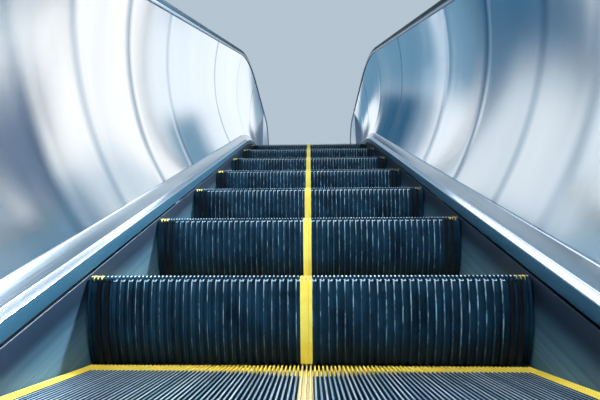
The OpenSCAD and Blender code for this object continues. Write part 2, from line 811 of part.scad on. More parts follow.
module end_frame(at_lower) {
    length = at_lower ? lower_comb_y - lower_wall_y : upper_wall_y - upper_comb_y;
    top = floor_under - fit;
    low = chord_top_n + fit;
    beam_y = comb_plate_len - beam_lap;
    side_w = truss_w + end_bearer_w;
    color("#5a6672") landing(at_lower) difference() {
        union() {
            translate([-truss_out_x, beam_y, low]) cube([2 * truss_out_x, beam_w, top - low]);
            translate([-truss_in_x + fit, beam_y, low - beam_drop])
                cube([2 * (truss_in_x - fit), beam_w, beam_drop + lap]);
            for (x = [-truss_out_x, truss_out_x - side_w])
                translate([x, beam_y, low]) cube([side_w, length - beam_y, top - low]);
            translate([-bearer_w / 2, beam_y, low]) cube([bearer_w, length - beam_y, top - low]);
            translate([-clad_x + clad_t + fit, length + fit, -casing_d - clad_t])
                cube([2 * (clad_x - clad_t - fit), wall_t, casing_d + clad_t + top]);
            translate([-truss_out_x, length - end_bearer_w, low])
                cube([2 * truss_out_x, end_bearer_w + wall_t, top - low]);
            translate([-seat_w / 2, length + fit, -seat_drop])
                cube([seat_w, seat_d - fit, seat_t]);
        }
        for (i = [-1.5 : 1 : 1.5])
            translate([i * seat_hole_pitch, length + seat_d / 2 + wall_t / 2, -seat_drop - lap])
                cylinder(d = seat_hole_d, h = seat_t + 2 * lap);
    }
}

for (i = [1 : step_count]) step(i);
for (s = SIDES) {
    skirt(s[1]);
    inner_deck(s[1]);
    inner_panels(s[1]);
    outer_panels(s[1]);
    outer_deck(s[1]);
    side_cladding(s[1]);
    handrail_guide(s[1]);
    handrail(s[1]);
    truss(s[1]);
    step_track(s[1]);
    newel(s[1], true);
    newel(s[1], false);
}
combs(true);  // lower_combs
combs(false);  // upper_combs
comb_plate(true);  // lower_comb_plate
comb_plate(false);  // upper_comb_plate
floor_plate(true);  // lower_floor_plate
floor_plate(false);  // upper_floor_plate
end_frame(true);  // lower_end_frame
end_frame(false);  // upper_end_frame
soffit();
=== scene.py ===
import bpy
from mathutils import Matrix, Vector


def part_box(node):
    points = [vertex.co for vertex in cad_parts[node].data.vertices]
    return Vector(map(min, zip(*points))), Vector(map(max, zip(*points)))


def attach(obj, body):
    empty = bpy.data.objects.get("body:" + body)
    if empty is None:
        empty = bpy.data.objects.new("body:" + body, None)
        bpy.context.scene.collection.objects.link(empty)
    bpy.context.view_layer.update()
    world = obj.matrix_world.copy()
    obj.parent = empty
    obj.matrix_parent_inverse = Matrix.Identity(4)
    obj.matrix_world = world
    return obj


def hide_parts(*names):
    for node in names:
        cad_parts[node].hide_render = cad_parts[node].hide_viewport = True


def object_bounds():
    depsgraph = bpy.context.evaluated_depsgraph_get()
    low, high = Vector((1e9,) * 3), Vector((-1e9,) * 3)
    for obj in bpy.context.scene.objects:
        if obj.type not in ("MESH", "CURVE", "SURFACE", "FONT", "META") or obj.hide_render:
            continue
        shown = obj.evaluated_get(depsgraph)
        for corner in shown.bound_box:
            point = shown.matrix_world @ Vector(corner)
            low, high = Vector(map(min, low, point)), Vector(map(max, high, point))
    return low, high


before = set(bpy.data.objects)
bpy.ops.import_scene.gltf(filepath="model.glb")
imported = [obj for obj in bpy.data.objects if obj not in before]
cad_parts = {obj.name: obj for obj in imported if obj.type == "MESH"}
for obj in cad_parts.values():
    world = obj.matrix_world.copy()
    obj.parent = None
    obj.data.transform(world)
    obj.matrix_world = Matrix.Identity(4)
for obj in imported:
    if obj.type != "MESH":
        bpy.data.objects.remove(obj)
cadBox = [list(corner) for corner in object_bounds()]

import math

import bmesh
import bpy
from mathutils import Matrix, Vector


def newObject(name, data):
    thing = bpy.data.objects.new(name, data)
    bpy.context.scene.collection.objects.link(thing)
    return thing


# camera, seen from a low step near the upper end
cameraView = {
    "place": (0.0119, 4.4965, 1.8148),
    "pitch": 13.6,
    "turn": 1.75,
    "roll": 0.08,
    "lens": 21.516,
    "sensor": 36,
    "clipStart": 0.02,
}
camera = newObject("camera", bpy.data.cameras.new("camera"))
camera.data.lens = cameraView["lens"]
camera.data.sensor_width = cameraView["sensor"]
camera.data.clip_start = cameraView["clipStart"]
camera.location = cameraView["place"]
camera.rotation_euler = [
    math.radians(a) for a in (90 + cameraView["pitch"], cameraView["roll"], cameraView["turn"])
]
bpy.context.scene.camera = camera

# the line of the step noses, in metres, that every long piece follows
travel = {
    "slope": math.radians(30),
    "lowerCorner": (2.370, 0.130),
    "rise": 3.0,
    "lowerRadius": 1.0,
    "upperRadius": 1.5,
    "bayLength": 1.180,
    "upperBayRun": 0.398,
    "inclineBays": 3,
    "joint": 0.0015,
    "bendStep": math.radians(2),
}
slope, lowerRadius, upperRadius = (travel[k] for k in ("slope", "lowerRadius", "upperRadius"))
uphill = Vector((math.cos(slope), math.sin(slope)))
lowerCorner = Vector(travel["lowerCorner"])
upperCorner = lowerCorner + Vector((travel["rise"] / math.tan(slope), travel["rise"]))
lowerTangent = lowerRadius * math.tan(slope / 2)
upperTangent = upperRadius * math.tan(slope / 2)
lowerBendStart = lowerCorner - Vector((lowerTangent, 0))
lowerBendEnd = lowerCorner + lowerTangent * uphill
upperBendStart = upperCorner - upperTangent * uphill
upperBendEnd = upperCorner + Vector((upperTangent, 0))
lowerArc, upperArc = lowerRadius * slope, upperRadius * slope
upperBendAt = lowerArc + (upperBendStart - lowerBendEnd).length
pathEnd = upperBendAt + upperArc
levels = (lowerCorner.y, upperCorner.y)
sides = ((-1, "left"), (1, "right"))


def pathFrame(s, lift=0.0):
    # point (y, z) and direction at the distance s from the lower bend, lifted straight up
    if s <= 0:
        y, z, a = lowerBendStart.x + s, lowerBendStart.y, 0.0
    elif s < lowerArc:
        a = s / lowerRadius
        y = lowerBendStart.x + lowerRadius * math.sin(a)
        z = lowerBendStart.y + lowerRadius * (1 - math.cos(a))
    elif s <= upperBendAt:
        y, z = lowerBendEnd + (s - lowerArc) * uphill
        a = slope
    elif s < pathEnd:
        a = (pathEnd - s) / upperRadius
        y = upperBendEnd.x - upperRadius * math.sin(a)
        z = upperBendEnd.y + upperRadius * (math.cos(a) - 1)
    else:
        y, z, a = upperBendEnd.x + s - pathEnd, upperBendEnd.y, 0.0
    return y, z + lift, a


def heightOver(y, offset, lift=0.0):
    # height at the place y of the line offset square to itself and then lifted
    lowR, upR = lowerRadius - offset, upperRadius + offset
    if y <= lowerBendStart.x:
        z = lowerBendStart.y + offset
    elif y <= lowerBendStart.x + lowR * math.sin(slope):
        z = lowerBendStart.y + lowerRadius - math.sqrt(lowR ** 2 - (y - lowerBendStart.x) ** 2)
    elif y >= upperBendEnd.x:
        z = upperBendEnd.y + offset
    elif y >= upperBendEnd.x - upR * math.sin(slope):
        z = upperBendEnd.y - upperRadius + math.sqrt(upR ** 2 - (upperBendEnd.x - y) ** 2)
    else:
        z = lowerCorner.y + (y - lowerCorner.x) * math.tan(slope) + offset / math.cos(slope)
    return z + lift


# distances of the joints between the bays along the line
bayJoints = [0.0] + [
    upperBendAt - travel["upperBayRun"] - i * travel["bayLength"]
    for i in range(travel["inclineBays"], -1, -1)
] + [pathEnd]


def stretch(fromY, toY):
    # distances along the line of two places on its level ends
    return fromY - lowerBendStart.x, pathEnd + toY - upperBendEnd.x


def bayStretches(fromY, toY):
    # the stretches between the joints
    start, end = stretch(fromY, toY)
    ends, gap = [start] + bayJoints + [end], travel["joint"] / 2
    last = len(ends) - 2
    return [(ends[i] + (gap if i else 0), ends[i + 1] - (gap if i < last else 0))
            for i in range(last + 1)]


def marks(s0, s1, bendStep=travel["bendStep"]):
    # distances to place sections at: close together in the bends, only the ends where it is straight
    found = [s0, s1]
    for start, length, radius in ((0.0, lowerArc, lowerRadius), (upperBendAt, upperArc, upperRadius)):
        count = round(length / radius / bendStep)
        found += [start + length * i / count for i in range(count + 1)]
    found = sorted(s for s in set(found) if s0 <= s <= s1)
    return [s for i, s in enumerate(found) if i == 0 or s - found[i - 1] > 1e-5]


print("line of travel is set")


class Sum:
    # a number worked out by nodes, so that sums of them are written as sums
    def __init__(self, tree, output):
        self.tree, self.output = tree, output

    def math(self, operation, *others):
        return maths(self.tree, operation, self, *others)

    def __add__(self, other):
        return self.math("ADD", other)

    def __radd__(self, other):
        return maths(self.tree, "ADD", other, self)

    def __sub__(self, other):
        return self.math("SUBTRACT", other)

    def __rsub__(self, other):
        return maths(self.tree, "SUBTRACT", other, self)

    def __mul__(self, other):
        return self.math("MULTIPLY", other)


def plug(tree, value, target):
    # a value is a number, a colour, an output, a sum, or a node whose first output is meant
    if isinstance(value, Sum):
        value = value.output
    if isinstance(value, bpy.types.Node):
        value = value.outputs[0]
    if isinstance(value, bpy.types.NodeSocket):
        tree.links.new(value, target)
    else:
        target.default_value = value


def newNode(tree, kind, inputs=None, **settings):
    node = tree.nodes.new(kind)
    for key, value in settings.items():
        setattr(node, key, value)
    for key, value in (inputs or {}).items():
        plug(tree, value, node.inputs[key])
    return node


def maths(tree, operation, *values):
    node = newNode(tree, "ShaderNodeMath", dict(enumerate(values)), operation=operation)
    return Sum(tree, node.outputs[0])


def split(tree, source):
    # the three numbers of a vector
    parts = newNode(tree, "ShaderNodeSeparateXYZ", {0: source})
    return [Sum(tree, output) for output in parts.outputs]


def ranged(value, fromLow, fromHigh, toLow=0.0, toHigh=1.0, change="LINEAR"):
    node = newNode(value.tree, "ShaderNodeMapRange", {
        "Value": value, "From Min": fromLow, "From Max": fromHigh, "To Min": toLow, "To Max": toHigh,
    }, interpolation_type=change)
    return Sum(value.tree, node.outputs[0])


def mixColours(factor, a, b):
    a, b = ((*colour, 1.0) if isinstance(colour, tuple) else colour for colour in (a, b))
    node = newNode(factor.tree, "ShaderNodeMix", {"Factor": factor, 6: a, 7: b}, data_type="RGBA")
    return node.outputs[2]


def alongTheLine():
    # turns Object coordinates into (across, along the line, square to the line)
    tree = bpy.data.node_groups.new("alongTheLine", "ShaderNodeTree")
    tree.interface.new_socket(name="Vector", in_out="OUTPUT", socket_type="NodeSocketVector")
    x, y, z = split(tree, newNode(tree, "ShaderNodeTexCoord").outputs["Object"])

    def half(centreY, centreZ, radius, sign, startS):
        # one bend with the straight lines that run out of it
        angle = ((y - centreY) * sign).math("ARCTAN2", (centreZ - z) * sign)
        angle = angle.math("MAXIMUM", 0.0).math("MINIMUM", slope)
        c, s = angle.math("COSINE"), angle.math("SINE")
        fromY = y - (centreY + s * (sign * radius))
        fromZ = z - (centreZ - c * (sign * radius))
        along = fromY * c + fromZ * s + angle * (sign * radius) + startS
        return along, fromZ * c - fromY * s

    low = half(lowerBendStart.x, lowerBendStart.y + lowerRadius, lowerRadius, 1, 0.0)
    high = half(upperBendEnd.x, upperBendEnd.y - upperRadius, upperRadius, -1, pathEnd)
    isHigh = y.math("GREATER_THAN", (lowerCorner.x + upperCorner.x) / 2)
    mixed = [newNode(tree, "ShaderNodeMix", {"Factor": isHigh, "A": a, "B": b}).outputs["Result"]
             for a, b in zip(low, high)]
    joined = newNode(tree, "ShaderNodeCombineXYZ", dict(enumerate([x] + mixed)))
    newNode(tree, "NodeGroupOutput", {0: joined})
    return tree


lineGroup = alongTheLine()


def coordinates(tree, kind):
    if kind == "line":
        return newNode(tree, "ShaderNodeGroup", node_tree=lineGroup).outputs[0]
    if kind == "uv":
        return newNode(tree, "ShaderNodeUVMap").outputs[0]
    return newNode(tree, "ShaderNodeTexCoord").outputs["Object"]


def noise(tree, source, scale, detail, roughness):
    # noise stretched differently along each axis; scale is in turns a metre
    stretched = newNode(tree, "ShaderNodeMapping", {"Scale": scale, "Vector": source})
    node = newNode(tree, "ShaderNodeTexNoise", {
        "Scale": 1.0, "Detail": detail, "Roughness": roughness, "Vector": stretched})
    return Sum(tree, node.outputs["Fac"])


def newMaterial(name):
    material = bpy.data.materials.new(name)
    material.use_nodes = True
    return material, material.node_tree, material.node_tree.nodes["Principled BSDF"]


def finishShader(shader, colour, roughness, look, height, distance, strength):
    tree = roughness.tree
    inputs = {"Base Color": colour, "Roughness": roughness, "Metallic": look["metallic"]}
    if "specular" in look:
        inputs["Specular IOR Level"] = look["specular"]
    inputs["Normal"] = newNode(tree, "ShaderNodeBump", {
        "Distance": distance, "Strength": strength, "Height": height})
    for key, value in inputs.items():
        plug(tree, value, shader.inputs[key])


# what all brushed metals share: detail and roughness of each noise and the part of it that is used
brushedUsual = {
    "fineNoise": (4.0, 0.65),
    "broadNoise": (3.0, 0.6),
    "smudge": (2.2, 2.2, 2.2),
    "smudgeNoise": (4.0, 0.6),
    "toneSpan": (0.32, 0.68),
    "roughSpan": (0.3, 0.7),
    "wander": 0.012,
    "shadePower": 1.6,
    "metallic": 1.0,
    "bumpStrength": 0.5,
}


def brushedMetal(name, look):
    # metal with fine brush lines, broad streaks and soft smudges, and where a shade is given, a
    # painted shade that darkens it towards the line
    look = {**brushedUsual, **look}
    material, tree, shader = newMaterial(name)
    source = coordinates(tree, look["coords"])
    fine = noise(tree, source, look["fine"], *look["fineNoise"])
    broad = noise(tree, source, look["broad"], *look["broadNoise"])
    smudge = noise(tree, coordinates(tree, "object"), look["smudge"], *look["smudgeNoise"])
    streak = fine * 0.5 + broad * 0.5
    colour = mixColours(ranged(streak, *look["toneSpan"]), look["dark"], look["light"])
    # painted shade: the colour darkens the closer it lies under the line, as on the skirt under the
    # deck
    if "shade" in look:
        depth = split(tree, source)[2] + smudge * look["wander"]
        shade = ranged(depth, *look["shade"]["span"]).math("POWER", look["shadePower"])
        colour = mixColours(shade, colour, look["shade"]["colour"])
    rough = ranged(streak * 0.6 + smudge * 0.4, *look["roughSpan"], *look["roughness"])
    finishShader(shader, colour, rough, look, fine, look["bump"], look["bumpStrength"])
    return material


paintUsual = {
    "softScale": (9, 9, 9),
    "softNoise": (4.0, 0.6),
    "speckScale": (160, 60, 60),
    "speckNoise": (3.0, 0.7),
    "toneSpan": (0.35, 0.65),
    "roughSpan": (0.3, 0.7),
    "worn": 0.3,
    "wornFrom": 0.62,
    "wornSpan": 0.12,
    "wander": 0.03,
    "headSpan": (0.030, 0.052),
    "footShare": 0.95,
    "metallic": 0.0,
    "specular": 0.5,
    "bump": 0.0003,
    "bumpStrength": 0.5,
}


def paint(name, look):
    # painted, moulded or worn surface: colour that varies softly and wears through in specks; where a
    # fade is given, a painted highlight at the head and painted shade at the foot
    look = {**paintUsual, **look}
    material, tree, shader = newMaterial(name)
    source = coordinates(tree, "object")
    soft = noise(tree, source, look["softScale"], *look["softNoise"])
    specks = noise(tree, source, look["speckScale"], *look["speckNoise"])
    base = mixColours(ranged(soft, *look["toneSpan"]), look["dark"], look["light"])
    wornFrom = look["wornFrom"]
    worn = ranged(specks, wornFrom, wornFrom + look["wornSpan"], 0.0, look["worn"])
    colour = mixColours(worn, base, look["wornColour"])
    if "fade" in look:
        # lighter at the head, partly rubbed and partly a painted highlight, and painted shade that
        # darkens it towards the foot
        fade = look["fade"]
        below = newNode(tree, "ShaderNodeAttribute", attribute_name="belowNose")
        depth = Sum(tree, below.outputs["Fac"]) + soft * look["wander"]
        head = ranged(depth, *look["headSpan"], fade["rubbedAndSheen"], 0.0)
        colour = mixColours(head, colour, fade["head"])
        foot = ranged(depth, *fade["span"], 0.0, look["footShare"])
        colour = mixColours(foot, colour, fade["foot"])
    rough = ranged(soft, *look["roughSpan"], *look["roughness"])
    finishShader(shader, colour, rough, look, specks, look["bump"], look["bumpStrength"])
    return material


def ridges(tree, source, joint, stiffeners):
    # soft bands over the stiffeners and the joints, from the distance along the line
    along, total = split(tree, source)[0], 0.0
    for place, width, height in [(s, *joint) for s in bayJoints] + list(stiffeners):
        away = (along - place).math("ABSOLUTE")
        total = ranged(away, 0.0, width, height, 0.0, "SMOOTHSTEP") + total
    return total


def panelMetal(name, look):
    # satin sheet: fine brush lines up the sheet, soft dents and slow waves that bend its reflections,
    # and soft dark lines: painted reflections along the dents, dark joint lines at the joints
    material, tree, shader = newMaterial(name)
    source = coordinates(tree, "uv")
    fine = noise(tree, source, look["fine"], *look["fineNoise"])
    bands = noise(tree, source, look["bands"], *look["bandNoise"])
    waves = noise(tree, source, look["waves"], *look["waveNoise"])
    dents = ridges(tree, source, look["jointDent"], look["dents"])
    streak = fine * 0.4 + bands * 0.6
    colour = mixColours(ranged(streak, *look["toneSpan"]), look["dark"], look["light"])
    # soft dark lines: painted reflections along the dents, dark joint lines at the joints
    darkLines = ridges(tree, source, look["jointStain"], look["darkLines"])
    colour = mixColours(darkLines, colour, look["darkLineColour"])
    rough = ranged(streak, *look["roughSpan"], *look["roughness"])
    height = waves * look["waveHeight"] + fine * look["fineHeight"] + dents
    finishShader(shader, colour, rough, look, height, 1.0, 1.0)
    return material


brushedLooks = {
    "skirtSteel": {
        "coords": "line", "fine": (20, 2.2, 700), "broad": (10, 0.7, 60),
        "dark": (0.016, 0.085, 0.16), "light": (0.14, 0.28, 0.39), "roughness": (0.46, 0.60),
        "bump": 0.0005, "metallic": 0.30,
        # painted shade along the top of the skirt, under the deck
        "shade": {"span": (-0.165, -0.035), "colour": (0.001, 0.012, 0.030)}},
    "deckSteel": {
        "coords": "line", "fine": (300, 3, 300), "broad": (60, 0.8, 60),
        "dark": (0.57, 0.66, 0.75), "light": (0.70, 0.77, 0.84), "roughness": (0.11, 0.18),
        "bump": 0.00003},
    # darker copy of the deck's steel for its upright face: painted shade, with a rougher brushed
    # finish
    "deckFaceShadedSteel": {
        "coords": "line", "fine": (20, 2.5, 500), "broad": (10, 0.6, 40),
        "dark": (0.016, 0.070, 0.125), "light": (0.034, 0.115, 0.185), "roughness": (0.42, 0.55),
        "metallic": 0.7, "bump": 0.0004, "bumpStrength": 0.6},
    # darker copy of the deck's steel for its moulding: painted shade
    "mouldingShadedSteel": {
        "coords": "line", "fine": (60, 3, 300), "broad": (20, 0.8, 40),
        "dark": (0.33, 0.40, 0.46), "light": (0.40, 0.47, 0.53), "roughness": (0.13, 0.20),
        "bump": 0.00002},
    "claddingSteel": {
        "coords": "line", "fine": (300, 3, 500), "broad": (20, 0.5, 40),
        "dark": (0.42, 0.49, 0.57), "light": (0.55, 0.62, 0.70), "roughness": (0.30, 0.44),
        "bump": 0.0002},
    "guideAluminium": {
        "coords": "line", "fine": (500, 3, 500), "broad": (60, 1, 60),
        "dark": (0.22, 0.30, 0.37), "light": (0.32, 0.40, 0.47), "roughness": (0.28, 0.40),
        "bump": 0.0001},
    "newelSteel": {
        "coords": "object", "fine": (200, 3, 400), "broad": (20, 1, 40),
        "dark": (0.50, 0.57, 0.66), "light": (0.60, 0.67, 0.75), "roughness": (0.26, 0.36),
        "bump": 0.000004},
    "landingAluminium": {
        "coords": "object", "fine": (300, 20, 300), "broad": (20, 4, 20),
        "dark": (0.26, 0.31, 0.36), "light": (0.38, 0.43, 0.49), "roughness": (0.36, 0.50),
        "bump": 0.0002, "metallic": 0.8},
    "landingWorn": {
        "coords": "object", "fine": (260, 14, 260), "broad": (12, 3, 12),
        "dark": (0.40, 0.46, 0.51), "light": (0.54, 0.59, 0.64), "roughness": (0.30, 0.44),
        "bump": 0.0002, "metallic": 0.8},
    "screwSteel": {
        "coords": "object", "fine": (400, 400, 400), "broad": (60, 60, 60),
        "dark": (0.40, 0.43, 0.47), "light": (0.60, 0.63, 0.67), "roughness": (0.26, 0.40),
        "bump": 0.0001},
}
paintLooks = {
    "stepCasting": {
        "dark": (0.0018, 0.010, 0.022), "light": (0.007, 0.036, 0.070), "roughness": (0.42, 0.58),
        "worn": 0.55, "wornFrom": 0.60, "wornSpan": 0.16, "wornColour": (0.03, 0.10, 0.16),
        "bump": 0.0004, "speckScale": (260, 60, 34), "softScale": (14, 6, 9), "specular": 0.08,
        # painted highlight near the nose and painted shade at the foot of the riser
        "fade": {"head": (0.010, 0.045, 0.080), "rubbedAndSheen": 0.5,
                 "foot": (0.0008, 0.004, 0.009), "span": (0.13, 0.22)}},
    # rib faces rubbed bright: partly wear, partly a painted highlight
    "ribWearAndSheen": {
        "dark": (0.008, 0.033, 0.060), "light": (0.035, 0.105, 0.165), "roughness": (0.34, 0.48),
        "worn": 1.0, "wornFrom": 0.49, "wornSpan": 0.14, "wornColour": (0.26, 0.46, 0.58),
        "bump": 0.0005, "speckScale": (150, 30, 26), "softScale": (40, 10, 12), "specular": 0.3,
        "metallic": 0.2,
        # painted highlight near the nose and painted shade at the foot of the rib
        "fade": {"head": (0.50, 0.68, 0.80), "rubbedAndSheen": 0.8,
                 "foot": (0.002, 0.009, 0.016), "span": (0.09, 0.205)}},
    "cleatTop": {
        "dark": (0.22, 0.38, 0.53), "light": (0.68, 0.84, 0.95), "roughness": (0.30, 0.45),
        "worn": 0.7, "wornFrom": 0.58, "wornColour": (0.10, 0.18, 0.28), "metallic": 0.6,
        "softScale": (118, 1.6, 1.6), "speckScale": (300, 24, 60)},
    "stepYellow": {
        "dark": (0.90, 0.71, 0.08), "light": (1.0, 0.84, 0.14), "roughness": (0.38, 0.52),
        "wornColour": (0.35, 0.28, 0.10)},
    "wornYellow": {
        "dark": (0.60, 0.52, 0.24), "light": (0.74, 0.65, 0.38), "roughness": (0.38, 0.52),
        "worn": 0.4, "wornFrom": 0.60, "wornColour": (0.45, 0.40, 0.22)},
    "handrailRubber": {
        "dark": (0.004, 0.017, 0.030), "light": (0.009, 0.030, 0.048), "roughness": (0.42, 0.54),
        "wornColour": (0.02, 0.050, 0.08), "bump": 0.0001, "specular": 0.12},
    "combYellow": {
        "dark": (0.70, 0.53, 0.04), "light": (0.85, 0.68, 0.08), "roughness": (0.36, 0.50),
        "worn": 0.5, "wornFrom": 0.58, "wornColour": (0.40, 0.38, 0.30)},
    "combWorn": {
        "dark": (0.50, 0.48, 0.36), "light": (0.68, 0.60, 0.30), "roughness": (0.30, 0.42),
        "worn": 0.7, "wornFrom": 0.50, "wornColour": (0.62, 0.66, 0.68), "metallic": 0.6,
        "bump": 0.0002},
    "framePaint": {
        "dark": (0.055, 0.070, 0.090), "light": (0.080, 0.100, 0.125), "roughness": (0.45, 0.60),
        "worn": 0.4, "wornColour": (0.14, 0.15, 0.16), "bump": 0.0004},
    "stopRed": {
        "dark": (0.42, 0.012, 0.010), "light": (0.55, 0.022, 0.016), "roughness": (0.28, 0.40),
        "wornFrom": 0.64, "wornColour": (0.30, 0.04, 0.03), "bump": 0.0001},
    "blackPlastic": {
        "dark": (0.004, 0.006, 0.010), "light": (0.008, 0.012, 0.018), "roughness": (0.45, 0.60),
        "wornFrom": 0.64, "wornColour": (0.03, 0.035, 0.04), "bump": 0.0002, "specular": 0.08},
}
# dents and painted dark reflections: distance along the line, half width, height or strength
panelLook = {
    "fine": (420, 3, 1), "bands": (3.2, 0.25, 1), "waves": (2.2, 0.9, 1),
    "fineNoise": (3.0, 0.6), "bandNoise": (2.0, 0.5), "waveNoise": (1.0, 0.4),
    "dark": (0.77, 0.81, 0.84), "light": (0.89, 0.91, 0.92), "toneSpan": (0.34, 0.66),
    "roughness": (0.080, 0.130), "roughSpan": (0.3, 0.7), "metallic": 1.0,
    "waveHeight": 0.0005, "fineHeight": 0.00002, "jointDent": (0.034, -0.0006),
    "dents": ((-0.45, 0.06, 0.0005), (0.60, 0.06, 0.0005), (1.25, 0.06, 0.0005),
              (2.28, 0.06, 0.0005), (2.66, 0.06, 0.0005), (3.75, 0.06, 0.0004),
              (3.97, 0.05, 0.0004), (4.63, 0.05, 0.0004), (6.05, 0.06, 0.0005),
              (7.00, 0.06, 0.0005)),
    "darkLineColour": (0.28, 0.40, 0.50), "jointStain": (0.026, 0.75),
    "darkLines": ((0.60, 0.030, 0.5), (1.25, 0.030, 0.5), (2.28, 0.030, 0.5), (2.66, 0.030, 0.5),
               (3.75, 0.036, 0.40), (3.97, 0.030, 0.60), (4.63, 0.030, 0.50), (6.05, 0.03, 0.4)),
}
finishes = {name: brushedMetal(name, look) for name, look in brushedLooks.items()}
finishes.update({name: paint(name, look) for name, look in paintLooks.items()})
finishes["panelSteel"] = panelMetal("panelSteel", panelLook)
print("materials are made:", len(finishes))


def finishMesh(mesh, smoothAngle=None):
    # faces point outwards and folds sharper than the angle stay crisp
    work = bmesh.new()
    work.from_mesh(mesh)
    bmesh.ops.recalc_face_normals(work, faces=work.faces)
    work.to_mesh(mesh)
    work.free()
    if smoothAngle is not None:
        mesh.shade_smooth()
        mesh.set_sharp_from_angle(angle=math.radians(smoothAngle))


class Shape:
    # points and faces that are added part by part, until they become a mesh
    def __init__(self):
        self.points, self.faces = [], []

    def skin(self, rows, roundRow=True, roundRows=False):
        # faces between rows of as many points each
        base, count = len(self.points), len(rows[0])
        for row in rows:
            self.points.extend(row)
        for r in range(len(rows) if roundRows else len(rows) - 1):
            a, b = base + r * count, base + (r + 1) % len(rows) * count
            for i in range(count if roundRow else count - 1):
                j = (i + 1) % count
                self.faces.append((a + i, b + i, b + j, a + j))
        return base, count

    def sweep(self, rows):
        # a closed body over rows of points, each once round the same section
        base, count = self.skin(rows)
        last = base + (len(rows) - 1) * count
        self.faces.append(tuple(base + i for i in range(count)))
        self.faces.append(tuple(last + i for i in reversed(range(count))))

    def plate(self, outline, x0, x1):
        # a flat outline in (y, z) made into a plate between two places across
        self.sweep([[(x, y, z) for y, z in outline] for x in (x0, x1)])

    def box(self, low, high):
        (x0, y0, z0), (x1, y1, z1) = low, high
        self.plate([(y0, z0), (y1, z0), (y1, z1), (y0, z1)], x0, x1)

    def turned(self, profile, centre, axis, turns):
        # a turned shape from pairs of radius and height; both ends are closed
        order, rows = {"z": (0, 1, 2), "x": (2, 0, 1)}[axis], []
        for i in range(turns):
            a = 2 * math.pi * i / turns
            ring = [(r * math.cos(a), r * math.sin(a), h) for r, h in profile]
            rows.append([tuple(centre[k] + p[order[k]] for k in range(3)) for p in ring])
        base, count = self.skin(rows, roundRow=False, roundRows=True)
        self.faces.append(tuple(base + i * count for i in range(turns)))
        self.faces.append(tuple(base + i * count + count - 1 for i in reversed(range(turns))))

    def plain(self, name):
        mesh = bpy.data.meshes.new(name)
        mesh.from_pydata(self.points, [], self.faces)
        return mesh

    def mesh(self, name, material=None, smoothAngle=None):
        mesh = self.plain(name)
        finishMesh(mesh, smoothAngle)
        if material:
            mesh.materials.append(finishes[material])
        return mesh


def pieceFrom(mesh, name, node=None):
    # a finished piece on the one body; it may stand for a node
    piece = newObject(name, mesh)
    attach(piece, "root")
    if node:
        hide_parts(node)
    return piece


def rounded(corners, radius, turns=4):
    # the open line through the corners, with the inner ones rounded
    line = [Vector(corners[0])]
    for before, corner, after in zip(corners, corners[1:], corners[2:]):
        before, corner, after = Vector(before), Vector(corner), Vector(after)
        a, b = (before - corner).normalized(), (after - corner).normalized()
        half = math.acos(max(-1.0, min(1.0, a.dot(b)))) / 2
        if math.pi / 2 - half < 0.02:
            line.append(corner)
            continue
        most = 0.45 * min((before - corner).length, (after - corner).length)
        reach = min(radius / math.tan(half), most)
        centre = corner + (a + b).normalized() * (reach * math.tan(half) / math.sin(half))
        start, end = corner + a * reach - centre, corner + b * reach - centre
        angle = start.angle_signed(end)
        line += [centre + Matrix.Rotation(-angle * i / turns, 2) @ start for i in range(turns + 1)]
    line.append(Vector(corners[-1]))
    return line


def thickLine(line, thickness):
    # closed section of a folded sheet; the second side lies to the right of the line
    other = []
    for i, point in enumerate(line):
        before = (line[i] - line[i - 1]).normalized() if i else (line[1] - line[0]).normalized()
        after = (line[i + 1] - line[i]).normalized() if i < len(line) - 1 else before
        right = Vector(((before + after).y, -(before + after).x))
        other.append(point + right * 2 * thickness / right.length_squared)
    return list(line) + other[::-1]


def sweptPiece(name, section, side, stretches, material, node=None, smoothAngle=35, lift=0.0):
    # a section pushed along the line of travel
    shape = Shape()
    for s0, s1 in stretches:
        rows = []
        for s in marks(s0, s1):
            y, z, a = pathFrame(s, lift)
            rows.append([(side * p[0], y - p[1] * math.sin(a), z + p[1] * math.cos(a))
                         for p in section])
        shape.sweep(rows)
    return pieceFrom(shape.mesh(name, material, smoothAngle), name, node)


def newTree(name, inputs):
    # a Geometry Nodes tree with its named inputs
    tree = bpy.data.node_groups.new(name, "GeometryNodeTree")
    for label, kind, value in [("Geometry", "Geometry", None)] + inputs:
        socket = tree.interface.new_socket(
            name=label, in_out="INPUT", socket_type="NodeSocket" + kind)
        if value is not None:
            socket.default_value = value
    tree.interface.new_socket(name="Geometry", in_out="OUTPUT", socket_type="NodeSocketGeometry")
    return tree, newNode(tree, "NodeGroupInput").outputs


def repeated(tree, given, places):
    # the tree's Part at each of the places, made real
    info = newNode(tree, "GeometryNodeObjectInfo", {"Object": given["Part"]})
    copies = newNode(tree, "GeometryNodeInstanceOnPoints", {
        "Points": places, "Instance": info.outputs["Geometry"]})
    return newNode(tree, "GeometryNodeRealizeInstances", {0: copies})


def coated(tree, geometry, material, selection=True):
    return newNode(tree, "GeometryNodeSetMaterial", {
        "Geometry": geometry, "Selection": selection, "Material": material})


def runTree(tree, values, name, base=None):
    # sets the inputs by identifier, evaluates the tree once and returns the plain mesh
    holder = newObject(name, base or bpy.data.meshes.new(name))
    modifier = holder.modifiers.new("nodes", "NODES")
    modifier.node_group = tree
    named = {s.name: s.identifier for s in tree.interface.items_tree if s.in_out == "INPUT"}
    for label, value in values.items():
        modifier[named[label]] = value
    bpy.context.view_layer.update()
    depsgraph = bpy.context.evaluated_depsgraph_get()
    mesh = bpy.data.meshes.new_from_object(holder.evaluated_get(depsgraph), depsgraph=depsgraph)
    holder.modifiers.remove(modifier)
    bpy.data.objects.remove(holder)
    mesh.name = name
    return mesh


